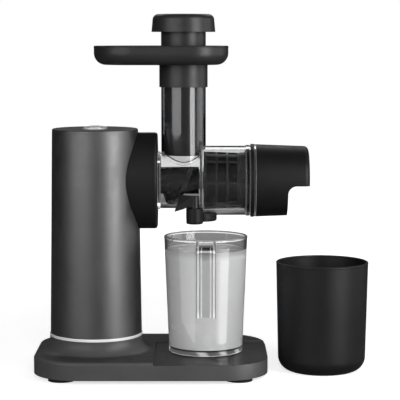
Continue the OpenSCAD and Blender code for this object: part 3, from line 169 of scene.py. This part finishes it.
def white_table():
    """White paper that glows towards its edges. It is dull in mirrors and pale through clear pieces."""
    paper = bpy.data.materials.new("white_table")
    paper.use_nodes = True
    tree = paper.node_tree
    tree.nodes.clear()
    path, through = sight(tree, -700, 500)
    place = put(tree, "TexCoord", (-1100, -100))
    tooth = put(tree, "TexNoise", (-700, 100), {"Scale": 60})
    tint = put(tree, "MapRange", (-500, 100), {"To Min": 0.80, "To Max": 0.84})
    away = put(tree, "VectorMath", (-900, -200), operation="LENGTH")
    lift = put(tree, "MapRange", (-700, -200),
               {"From Min": 0.35, "From Max": 1.10, "To Min": 0.70, "To Max": 1.0},
               interpolation_type="SMOOTHSTEP")
    matt = put(tree, "BsdfDiffuse", (-300, 100))
    glow = put(tree, "Emission", (-300, -200))
    both = put(tree, "AddShader", (-100, -50))
    dull = put(tree, "BsdfDiffuse", (-300, -50), {"Color": (0.16, 0.16, 0.16, 1)})
    far = put(tree, "MapRange", (-500, -400),
              {"From Min": 0.9, "From Max": 4.0, "To Min": 0.20, "To Max": 0.95})
    pale = put(tree, "Emission", (-300, -400))
    glass = put(tree, "MixShader", (-50, -250))
    mix = put(tree, "MixShader", (100, 0))
    out = put(tree, "OutputMaterial", (300, 0))
    link = tree.links.new
    link(place.outputs["Object"], tooth.inputs["Vector"])
    link(tooth.outputs["Fac"], tint.inputs["Value"])
    link(tint.outputs[0], matt.inputs["Color"])
    link(place.outputs["Object"], away.inputs[0])
    link(away.outputs["Value"], lift.inputs["Value"])
    link(lift.outputs[0], glow.inputs["Strength"])
    link(matt.outputs[0], both.inputs[0])
    link(glow.outputs[0], both.inputs[1])
    link(away.outputs["Value"], far.inputs["Value"])
    link(far.outputs[0], pale.inputs["Strength"])
    link(through, glass.inputs[0])
    link(dull.outputs[0], glass.inputs[1])
    link(pale.outputs[0], glass.inputs[2])
    link(path.outputs["Is Camera Ray"], mix.inputs[0])
    link(glass.outputs[0], mix.inputs[1])
    link(both.outputs[0], mix.inputs[2])
    link(mix.outputs[0], out.inputs[0])
    return paper


bpy.context.scene.world = pale_room()
table_side, table_front, table_back = 4, -2.5, 5
sheet = bpy.data.meshes.new("table_top")
sheet.from_pydata([(-table_side, table_front, 0), (table_side, table_front, 0),
                   (table_side, table_back, 0), (-table_side, table_back, 0)], [], [(0, 1, 2, 3)])
sheet.materials.append(white_table())
table = bpy.data.objects.new("table_top", sheet)
bpy.context.scene.collection.objects.link(table)


# ---- Base -----------------------------------------------------------------
# The base shell is one moulding in dark grey ABS: a low plinth with round
# corners that flares up into the tower. It has a satin spark-eroded grain.
# Its flat deck gets a darker colour as painted shade.

def moulded_skin():
    """Node group: bevelled edges, a fine grain, slow mottling and an edge mask."""
    group = bpy.data.node_groups.new("moulded_skin", "ShaderNodeTree")
    face = group.interface
    for name, value in (("Grain", 1800.0), ("Depth", 0.15), ("Edge", 0.0005)):
        face.new_socket(name, in_out="INPUT", socket_type="NodeSocketFloat").default_value = value
    for name in ("Mottle", "Rub", "Rim"):
        face.new_socket(name, in_out="OUTPUT", socket_type="NodeSocketFloat")
    face.new_socket("Normal", in_out="OUTPUT", socket_type="NodeSocketVector")
    given = group.nodes.new("NodeGroupInput")
    given.location = (-900, 0)
    result = group.nodes.new("NodeGroupOutput")
    result.location = (500, 0)
    place = put(group, "TexCoord", (-900, 300))
    slow = put(group, "TexNoise", (-600, 400), {"Scale": 22, "Detail": 4})
    rub = put(group, "TexNoise", (-600, 150), {"Scale": 90, "Detail": 5, "Roughness": 0.65})
    fine = put(group, "TexNoise", (-600, -100), {"Detail": 2})
    bevel = put(group, "Bevel", (-600, -350), samples=4)
    shape = put(group, "NewGeometry", (-600, -500))
    turn = put(group, "VectorMath", (-350, -400), operation="DOT_PRODUCT")
    rim = put(group, "MapRange", (-150, -400), {"From Min": 1.0, "From Max": 0.90})
    bump = put(group, "Bump", (-150, -100), {"Distance": 0.0001})
    link = group.links.new
    for target in (slow, rub, fine):
        link(place.outputs["Object"], target.inputs["Vector"])
    link(given.outputs["Grain"], fine.inputs["Scale"])
    link(given.outputs["Edge"], bevel.inputs["Radius"])
    link(given.outputs["Depth"], bump.inputs["Strength"])
    link(fine.outputs["Fac"], bump.inputs["Height"])
    link(bevel.outputs["Normal"], bump.inputs["Normal"])
    link(bevel.outputs["Normal"], turn.inputs[0])
    link(shape.outputs["Normal"], turn.inputs[1])
    link(turn.outputs["Value"], rim.inputs["Value"])
    link(slow.outputs["Fac"], result.inputs["Mottle"])
    link(rub.outputs["Fac"], result.inputs["Rub"])
    link(rim.outputs[0], result.inputs["Rim"])
    link(bump.outputs["Normal"], result.inputs["Normal"])
    return group


skin_group = moulded_skin()


def blank(name):
    """A new material, with its node tree and its shader."""
    material = bpy.data.materials.new(name)
    material.use_nodes = True
    return material, material.node_tree, material.node_tree.nodes["Principled BSDF"]


def rubbed(colour):
    """The paler colour that a moulding shows where its edges are rubbed."""
    return tuple(min(1.0, part * 1.9 + 0.02) for part in colour)


def moulded(name, dark, light, rough, grain=1800, depth=0.15, worn=0.25, metal=0.0, shine=0.5):
    """A moulded or painted surface: two tones by slow mottling, paler at worn edges."""
    material, tree, shader = blank(name)
    shader.inputs["Metallic"].default_value = metal
    shader.inputs["Specular IOR Level"].default_value = shine
    skin = put(tree, "Group", (-900, 0), {"Grain": grain, "Depth": depth}, node_tree=skin_group)
    spread = put(tree, "MapRange", (-760, 250), {"From Min": 0.35, "From Max": 0.65})
    tone = put(tree, "Mix", (-600, 200), {"A": (*dark, 1), "B": (*light, 1)}, data_type="RGBA")
    some = put(tree, "Math", (-600, 0), {1: worn}, operation="MULTIPLY")
    wear = put(tree, "Mix", (-350, 200), {"B": (*rubbed(light), 1)}, data_type="RGBA")
    gloss = put(tree, "MapRange", (-350, -100),
                {"From Min": 0.3, "From Max": 0.7, "To Min": rough - 0.05, "To Max": rough + 0.06})
    link = tree.links.new
    link(skin.outputs["Mottle"], spread.inputs["Value"])
    link(spread.outputs[0], tone.inputs["Factor"])
    link(skin.outputs["Rim"], some.inputs[0])
    link(tone.outputs["Result"], wear.inputs["A"])
    link(some.outputs[0], wear.inputs["Factor"])
    link(wear.outputs["Result"], shader.inputs["Base Color"])
    link(skin.outputs["Rub"], gloss.inputs["Value"])
    link(gloss.outputs[0], shader.inputs["Roughness"])
    link(skin.outputs["Normal"], shader.inputs["Normal"])
    return material


def recolour_level(material, colour, level, steep, fade="LINEAR"):
    """Gives the faces that look up another colour, and returns the mask of the steep ones.

    level and steep are heights of the surface's normal, 1 for straight up."""
    tree = material.node_tree
    base = tree.nodes["Principled BSDF"].inputs["Base Color"]
    facing = put(tree, "NewGeometry", (-900, 600))
    apart = put(tree, "SeparateXYZ", (-700, 600))
    kept = put(tree, "MapRange", (-500, 600), {"From Min": level, "From Max": steep},
               interpolation_type=fade)
    both = put(tree, "Mix", (-150, 350), {"A": (*colour, 1)}, data_type="RGBA")
    link = tree.links.new
    link(facing.outputs["Normal"], apart.inputs[0])
    link(apart.outputs["Z"], kept.inputs["Value"])
    link(kept.outputs[0], both.inputs["Factor"])
    link(base.links[0].from_socket, both.inputs["B"])
    link(both.outputs["Result"], base)
    return kept.outputs[0]


def dress(material, *names):
    """Gives CAD nodes their material."""
    for name in names:
        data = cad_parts[name].data
        data.materials.clear()
        data.materials.append(material)


base_grey = moulded("satin_base_grey", (0.066, 0.066, 0.068), (0.076, 0.076, 0.078), 0.40,
                    grain=1500, depth=0.2, shine=0.3)
# Painted shade: the faces that look up get a darker grey, for the shade that lies on the flat deck.
recolour_level(base_grey, (0.032, 0.032, 0.033), level=0.995, steep=0.86, fade="SMOOTHSTEP")
dress(base_grey, "base_shell")

# ---- Underside ------------------------------------------------------------
# A matt black cover closes the base from below, with four rubber feet screwed
# on. The frame inside the tower is the same black. A rubber inlet for the cord
# sits in the back wall.

cover_black = moulded("matt_cover_black", (0.016, 0.016, 0.017), (0.022, 0.022, 0.023), 0.58,
                      grain=1200, depth=0.3)
dress(cover_black, "bottom_cover", "inner_frame")
rubber = moulded("soft_rubber", (0.012, 0.012, 0.012), (0.020, 0.020, 0.020), 0.72,
                 grain=2600, depth=0.35, worn=0.1)
dress(rubber, "rubber_feet", "cord_inlet", "shaft_seal", "chamber_seal")


def turned(name, dark, light, rough, stretch):
    """Bare metal with fine lines: noise pulled out along one axis drives gloss and bump."""
    material, tree, shader = blank(name)
    shader.inputs["Metallic"].default_value = 1.0
    place = put(tree, "TexCoord", (-1100, 0))
    pull = put(tree, "Mapping", (-900, 0), {"Scale": stretch})
    lines = put(tree, "TexNoise", (-700, 0), {"Scale": 1.0, "Detail": 4})
    shade = put(tree, "Mix", (-400, 200), {"A": (*dark, 1), "B": (*light, 1)}, data_type="RGBA")
    gloss = put(tree, "MapRange", (-400, -50), {"To Min": rough - 0.1, "To Max": rough + 0.1})
    bevel = put(tree, "Bevel", (-650, -350), {"Radius": 0.0003}, samples=4)
    bump = put(tree, "Bump", (-400, -300), {"Strength": 0.12, "Distance": 0.0001})
    link = tree.links.new
    link(place.outputs["Object"], pull.inputs["Vector"])
    link(pull.outputs["Vector"], lines.inputs["Vector"])
    link(lines.outputs["Fac"], shade.inputs["Factor"])
    link(lines.outputs["Fac"], gloss.inputs["Value"])
    link(lines.outputs["Fac"], bump.inputs["Height"])
    link(bevel.outputs["Normal"], bump.inputs["Normal"])
    link(shade.outputs["Result"], shader.inputs["Base Color"])
    link(gloss.outputs[0], shader.inputs["Roughness"])
    link(bump.outputs["Normal"], shader.inputs["Normal"])
    return material


plain_steel = turned("plain_steel", (0.42, 0.42, 0.43), (0.58, 0.58, 0.59), 0.28, (300, 2500, 2500))
dress(plain_steel, "foot_screws", "frame_screws", "board_screws", "socket_screws", "gear_case_screws",
      "planet_pins", "motor_shaft", "output_bearing", "start_spring", "reverse_spring", "lever_pin",
      "motor_can", "planet_carrier", "drive_coupling", "ring_gear")

# ---- Trim ring ------------------------------------------------------------
# A thin polished ring lies round the foot of the tower, in the gap between
# the base and the sleeve. Its near-white colour, on a hardly metallic surface,
# is a painted reflection of the lamps that the polished ring shows.

# Painted reflection: the near-white base colour with little metal stands in for the lamps seen in the
# polished ring.
bright_ring = moulded("bright_ring", (0.84, 0.84, 0.85), (0.90, 0.90, 0.91), 0.22,
                      grain=2600, depth=0.05, worn=0.1, metal=0.1)
dress(bright_ring, "trim_ring")

# ---- Tower ----------------------------------------------------------------
# The sleeve is a drawn tube with a dark satin metallic lacquer. Its lid is a
# separate black moulding, with the sleeve's lacquer on its upright rim. The
# socket on its side, the outlet and the pulp cap are satin black.

lacquer = {"dark": (0.192, 0.192, 0.195), "light": (0.214, 0.214, 0.217), "rough": 0.47,
           "grain": 2600, "depth": 0.12, "worn": 0.35, "metal": 1.0}
dress(moulded("dark_satin_lacquer", **lacquer), "tower_sleeve")
lid = moulded("lid_lacquer", **lacquer)
upright = recolour_level(lid, (0.007, 0.007, 0.0075), level=0.80, steep=0.60)
lid.node_tree.links.new(upright, lid.node_tree.nodes["Principled BSDF"].inputs["Metallic"])
dress(lid, "tower_cap")
satin_black = moulded("satin_black", (0.005, 0.005, 0.0055), (0.008, 0.008, 0.0085), 0.46,
                      grain=2000, depth=0.14, shine=0.33)
dress(satin_black, "socket_housing", "juice_outlet", "drip_flap", "lock_ring", "pulp_cap")

# ---- Control pad ----------------------------------------------------------
# A silver pad on top of the tower carries the start and the reverse button.
# Each stands on a spring over its switch on the circuit board.

pad_silver = moulded("satin_silver_paint", (0.60, 0.60, 0.61), (0.66, 0.66, 0.67), 0.42,
                     grain=3000, depth=0.1, metal=0.2)
dress(pad_silver, "control_bezel")
button_silver = moulded("button_silver", (0.68, 0.68, 0.69), (0.74, 0.74, 0.75), 0.40,
                        grain=3000, depth=0.08, metal=0.2)
dress(button_silver, "start_button", "reverse_button")
laminate = moulded("board_laminate", (0.012, 0.07, 0.025), (0.018, 0.10, 0.035), 0.42,
                   grain=900, depth=0.3)
dress(laminate, "control_board")
inner_black = moulded("inner_black", (0.014, 0.014, 0.015), (0.020, 0.020, 0.021), 0.5)
dress(inner_black, "push_switches", "motor_end_bell", "brush_gear", "cooling_fan")

# ---- Gear box and motor ---------------------------------------------------
# The die-cast case holds three nylon planet gears round a brass pinion. The
# motor behind it has ferrite magnets in a steel can.

die_cast = moulded("die_cast", (0.36, 0.36, 0.37), (0.44, 0.44, 0.45), 0.48,
                   grain=900, depth=0.4, metal=0.9)
dress(die_cast, "gear_case")
nylon = moulded("gear_nylon", (0.60, 0.57, 0.49), (0.68, 0.65, 0.57), 0.45, grain=1400, depth=0.12)
dress(nylon, "planet_gear_1", "planet_gear_2", "planet_gear_3", "nose_bush")
brass = turned("cut_brass", (0.50, 0.34, 0.12), (0.62, 0.44, 0.18), 0.25, (2500, 300, 300))
dress(brass, "sun_pinion", "motor_bushes", "commutator")
ferrite = moulded("ferrite", (0.030, 0.030, 0.033), (0.045, 0.045, 0.048), 0.6, grain=1100, depth=0.4)
dress(ferrite, "field_magnets")
copper = turned("wound_copper", (0.30, 0.10, 0.035), (0.48, 0.19, 0.07), 0.35, (200, 3000, 3000))
dress(copper, "armature")


# ---- Chamber --------------------------------------------------------------
# The pressing chamber and its feed tube are one clear, slightly grey
# moulding, polished inside and out, so that the screw shows through it.

def clear(name, tint, painted_light_marks=None):
    """Clear plastic: faint haze and hairlines, with painted shade that darkens its edges beside a
    painted highlight, a thin line that glows.

    The third argument, where given, adds nodes to the tree and returns two sockets: more painted shade
    and more painted highlight."""
    material, tree, shader = blank(name)
    shader.inputs["Transmission Weight"].default_value = 1.0
    shader.inputs["IOR"].default_value = 1.5
    shader.inputs["Emission Strength"].default_value = 1.0
    place = put(tree, "TexCoord", (-900, 0))
    haze = put(tree, "TexNoise", (-700, 0), {"Scale": 55, "Detail": 5})
    cloud = put(tree, "MapRange", (-450, 0), {"From Min": 0.4, "From Max": 0.75, "To Max": 0.05})
    hair = put(tree, "TexNoise", (-700, -250), {"Scale": 300})
    bump = put(tree, "Bump", (-450, -250), {"Strength": 0.02, "Distance": 0.0001})
    thin = put(tree, "Group", (-900, 500), {"Edge": 0.0005, "Depth": 0.0}, node_tree=skin_group)
    wide = put(tree, "Group", (-900, 300), {"Edge": 0.0013, "Depth": 0.0}, node_tree=skin_group)
    # Painted shade: at the edges the tint goes towards dark grey, for the darkness that clear plastic
    # shows there.
    shade = put(tree, "Mix", (-300, 400), {"A": (*tint, 1), "B": (0.30, 0.30, 0.30, 1)},
                data_type="RGBA")
    # Painted highlight: a band just inside each edge glows, as a bright line beside the dark one.
    beside = put(tree, "Math", (-600, 300), operation="SUBTRACT", use_clamp=True)
    edge_light = put(tree, "Math", (-400, 200), {1: 0.22}, operation="MULTIPLY")
    link = tree.links.new
    link(place.outputs["Object"], haze.inputs["Vector"])
    link(place.outputs["Object"], hair.inputs["Vector"])
    link(haze.outputs["Fac"], cloud.inputs["Value"])
    link(cloud.outputs[0], shader.inputs["Roughness"])
    link(hair.outputs["Fac"], bump.inputs["Height"])
    link(thin.outputs["Normal"], bump.inputs["Normal"])
    link(bump.outputs["Normal"], shader.inputs["Normal"])
    link(shade.outputs["Result"], shader.inputs["Base Color"])
    link(wide.outputs["Rim"], beside.inputs[0])
    link(thin.outputs["Rim"], beside.inputs[1])
    link(beside.outputs[0], edge_light.inputs[0])
    # dark is the painted shade mask, light the strength of the painted highlight's glow.
    dark, light = thin.outputs["Rim"], edge_light.outputs[0]
    if painted_light_marks:
        deeper = put(tree, "Math", (-450, 600), operation="MAXIMUM")
        brighter = put(tree, "Math", (-200, 100), operation="ADD")
        more_dark, more_light = painted_light_marks(tree)
        for both, first, second in ((deeper, dark, more_dark), (brighter, light, more_light)):
            link(first, both.inputs[0])
            link(second, both.inputs[1])
        dark, light = deeper.outputs[0], brighter.outputs[0]
    link(dark, shade.inputs["Factor"])
    link(light, shader.inputs["Emission Color"])
    return material


# The chamber's edges get the painted shade and painted highlight lines of clear().
dress(clear("clear_smoke", (0.90, 0.90, 0.905)), "juicing_chamber")

# ---- Jug ------------------------------------------------------------------
# The jug is a thin clear moulding with a thick foot. The flanges of its handle
# get painted dark lines and painted highlights that glow, and the foot a band
# of painted glints that glow.

jug_foot = round(jug_low.z, 4)
handle_front = -0.058
line_reach = 0.012
# Share of line_reach from the handle's middle, the strength of the line's painted highlight and of its
# painted shade
painted_handle_lines = (
    (0.29, 0, 0.25), (0.33, 0, 0), (0.365, 0.7, 0), (0.39, 0.7, 0), (0.425, 0, 0), (0.50, 0, 0.1),
    (0.545, 0, 0.9), (0.60, 0.2, 0), (0.665, 0.9, 0), (0.73, 0.2, 0.2), (0.79, 0, 1), (0.85, 0, 1))


def handle_painted_light(tree, apart):
    """A socket whose X is the painted highlight and whose Y the painted shade of the lines along the
    handle.
    """
    middle = put(tree, "Math", (-1900, 1100), {1: jug_x}, operation="SUBTRACT")
    side = put(tree, "Math", (-1750, 1100), operation="ABSOLUTE")
    share = put(tree, "Math", (-1600, 1100), {1: line_reach}, operation="DIVIDE")
    lines = put(tree, "ValToRGB", (-1450, 1100))
    stops = lines.color_ramp.elements
    for at, bright, dark in painted_handle_lines:
        stops.new(at).color = (bright, dark, 0, 1)
    stops[0].color = stops[1].color
    stops[-1].color = stops[-2].color
    front = put(tree, "Math", (-1600, 800), {1: handle_front}, operation="LESS_THAN")
    kept = put(tree, "VectorMath", (-1150, 1000), operation="SCALE")
    link = tree.links.new
    link(apart.outputs["X"], middle.inputs[0])
    link(middle.outputs[0], side.inputs[0])
    link(side.outputs[0], share.inputs[0])
    link(share.outputs[0], lines.inputs["Fac"])
    link(apart.outputs["Y"], front.inputs[0])
    link(lines.outputs["Color"], kept.inputs[0])
    link(front.outputs[0], kept.inputs["Scale"])
    return kept.outputs[0]


def by_height(tree, apart, place, start, end, levels=(0.0, 1.0), fade="LINEAR"):
    """A socket that goes from one level to another between two heights above the jug's foot."""
    ramp = put(tree, "MapRange", place,
               {"From Min": jug_foot + start, "From Max": jug_foot + end,
                "To Min": levels[0], "To Max": levels[1]}, interpolation_type=fade)
    tree.links.new(apart.outputs["Z"], ramp.inputs["Value"])
    return ramp.outputs[0]


def foot_painted_glints(tree, place, apart):
    """A socket for the painted glints, which slant, in a band round the thick foot."""
    wave = put(tree, "TexWave", (-1900, 500), {"Scale": 22, "Distortion": 2.5},
               bands_direction="DIAGONAL")
    glints = put(tree, "MapRange", (-1700, 500),
                 {"From Min": 0.45, "From Max": 0.95, "To Min": 0.10, "To Max": 0.50})
    over = by_height(tree, apart, (-1700, 250), 0.0007, 0.0021, fade="SMOOTHSTEP")
    under = by_height(tree, apart, (-1700, 0), 0.0057, 0.0049, fade="SMOOTHSTEP")
    band = put(tree, "Math", (-1500, 200), operation="MULTIPLY")
    foot = put(tree, "Math", (-1300, 300), operation="MULTIPLY")
    link = tree.links.new
    link(place.outputs["Object"], wave.inputs["Vector"])
    link(wave.outputs["Fac"], glints.inputs["Value"])
    link(over, band.inputs[0])
    link(under, band.inputs[1])
    link(band.outputs[0], foot.inputs[0])
    link(glints.outputs[0], foot.inputs[1])
    return foot.outputs[0]


def jug_painted_light(tree):
    """Sockets for more painted shade and more painted highlight on the jug: the handle's lines and the
    foot's glints.
    """
    place = put(tree, "TexCoord", (-2300, 1000))
    apart = put(tree, "SeparateXYZ", (-2100, 1000))
    pair = put(tree, "SeparateXYZ", (-950, 1000))
    # The handle's painted highlight glows more strongly low on the handle, below about 5 cm above the
    # foot.
    lower_line_glow = by_height(tree, apart, (-1100, 700), 0.0535, 0.0500, levels=(0.22, 0.50))
    # light is the glow of the painted highlights: the handle's lines, then the foot's glints.
    light = put(tree, "Math", (-700, 900), operation="MULTIPLY_ADD")
    link = tree.links.new
    link(place.outputs["Object"], apart.inputs[0])
    link(handle_painted_light(tree, apart), pair.inputs[0])
    link(pair.outputs["X"], light.inputs[0])
    link(lower_line_glow, light.inputs[1])
    link(foot_painted_glints(tree, place, apart), light.inputs[2])
    return pair.outputs["Y"], light.outputs[0]


dress(clear("clear_jug", (0.97, 0.97, 0.975), jug_painted_light), "juice_jug")

# ---- Screw and basket -----------------------------------------------------
# The press screw is a black moulding with rising flights. It turns in a black
# basket that holds the etched steel mesh. The seals of the pulp cap and of the
# drip flap are grey silicone.

screw_black = moulded("screw_black", (0.032, 0.032, 0.033), (0.040, 0.040, 0.041), 0.26,
                      grain=1400, depth=0.08)
dress(screw_black, "juicing_screw")
basket_black = moulded("basket_black", (0.042, 0.042, 0.043), (0.050, 0.050, 0.051), 0.34)
dress(basket_black, "filter_basket")
mesh_steel = turned("etched_mesh", (0.05, 0.05, 0.052), (0.09, 0.09, 0.092), 0.40, (1500, 1500, 1500))
dress(mesh_steel, "filter_mesh")
silicone = moulded("grey_silicone", (0.26, 0.26, 0.265), (0.31, 0.31, 0.315), 0.55,
                   grain=2200, depth=0.1, worn=0.05)
dress(silicone, "cap_seal", "flap_seal")

# ---- Drip lever -----------------------------------------------------------
# The lever that opens and shuts the juice spout is a small black moulding. It
# turns on a steel pin.

dress(moulded("lever_black", (0.008, 0.008, 0.009), (0.012, 0.012, 0.013), 0.36), "drip_lever")

# ---- Tray and pusher ------------------------------------------------------
# Tray, pusher and its cap are satin dark grey mouldings. The tray's collar sits
# on the end of the feed tube, and the pusher slides down through both.

tray_grey = moulded("satin_tray_grey", (0.018, 0.018, 0.019), (0.023, 0.023, 0.024), 0.38,
                    grain=2000, depth=0.14)
dress(tray_grey, "feed_tray", "pusher_body", "pusher_cap")

# ---- Pulp cup -------------------------------------------------------------
# A plain round cup in black satin plastic stands beside the base. It catches
# the pulp, and nothing holds it.

cup_black = moulded("satin_cup_black", (0.003, 0.003, 0.0033), (0.005, 0.005, 0.0053), 0.48,
                    grain=2000, depth=0.14, worn=0.0)
dress(cup_black, "pulp_cup")


# ---- Juice ----------------------------------------------------------------
# The jug is filled to a little over a centimetre below its rim. The juice is
# pale and milky, with a thin lip where it climbs the wall.

def juice_outline():
    """Radius and height from the middle of the floor, up the wall and over the lip to the middle.

    The juice reaches 0.15 mm into the jug's floor and wall, so that no air shows between them."""
    low, high = jug_foot + 0.00635, jug_foot + 0.1085
    floor_r, lean, corner = 0.03604, 0.0430, 0.0009
    lip_width, lip_drop, lip_curve = 0.0032, 0.0011, 4.5
    inner_r, sag = 0.020, 0.00001
    corner_steps, wall_steps, lip_steps = 5, 10, 7
    outline = [(0.0, low)]
    for step in range(corner_steps + 1):
        turn = math.pi / 2 * step / corner_steps
        outline.append((floor_r - corner * (1 - math.sin(turn)), low + corner * (1 - math.cos(turn))))
    for step in range(1, wall_steps + 1):
        rise = (high - low) * step / wall_steps
        outline.append((floor_r + rise * lean, low + rise))
    lip_r, lip_z = outline[-1]
    for step in range(1, lip_steps + 1):
        share = step / lip_steps
        drop = lip_drop * (1 - math.exp(-lip_curve * share))
        outline.append((lip_r - lip_width * share, lip_z - drop))
    surface = outline[-1][1]
    return outline + [(inner_r, surface - 2 * sag), (0.0, surface - 3 * sag)]


def revolved(name, outline, middle_x, sides=128):
    """A smooth mesh from an outline that is turned round an upright line and starts and ends on it."""
    body = bmesh.new()
    rows = []
    for radius, high in outline:
        if radius == 0.0:
            rows.append([body.verts.new((middle_x, 0, high))])
        else:
            rows.append([body.verts.new((middle_x + radius * math.cos(a), radius * math.sin(a), high))
                         for a in (2 * math.pi * k / sides for k in range(sides))])
    for lower, upper in zip(rows, rows[1:]):
        for k in range(sides):
            j = (k + 1) % sides
            if len(lower) == 1:
                body.faces.new((lower[0], upper[k], upper[j]))
            elif len(upper) == 1:
                body.faces.new((lower[j], lower[k], upper[0]))
            else:
                body.faces.new((lower[k], upper[k], upper[j], lower[j]))
    bmesh.ops.recalc_face_normals(body, faces=body.faces)
    for face in body.faces:
        face.smooth = True
    mesh = bpy.data.meshes.new(name)
    body.to_mesh(mesh)
    body.free()
    return mesh


def milky_juice():
    """A pale, slightly see-through liquid with a slow swirl in its tone and gloss."""
    material, tree, shader = blank("milky_juice")
    shader.inputs["Subsurface Weight"].default_value = 0.35
    shader.inputs["Subsurface Radius"].default_value = (0.006, 0.006, 0.006)
    shader.inputs["Specular IOR Level"].default_value = 0.35
    place = put(tree, "TexCoord", (-900, 0))
    swirl = put(tree, "TexNoise", (-700, 0), {"Scale": 40, "Detail": 6})
    tone = put(tree, "Mix", (-400, 100), {"A": (0.82, 0.82, 0.82, 1), "B": (0.90, 0.90, 0.90, 1)},
               data_type="RGBA")
    gloss = put(tree, "MapRange", (-400, -150), {"To Min": 0.18, "To Max": 0.34})
    link = tree.links.new
    link(place.outputs["Object"], swirl.inputs["Vector"])
    link(swirl.outputs["Fac"], tone.inputs["Factor"])
    link(swirl.outputs["Fac"], gloss.inputs["Value"])
    link(tone.outputs["Result"], shader.inputs["Base Color"])
    link(gloss.outputs[0], shader.inputs["Roughness"])
    return material


mesh = revolved("juice", juice_outline(), jug_x)
mesh.materials.append(milky_juice())
juice = bpy.data.objects.new("juice", mesh)
bpy.context.scene.collection.objects.link(juice)
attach(juice, "jug")
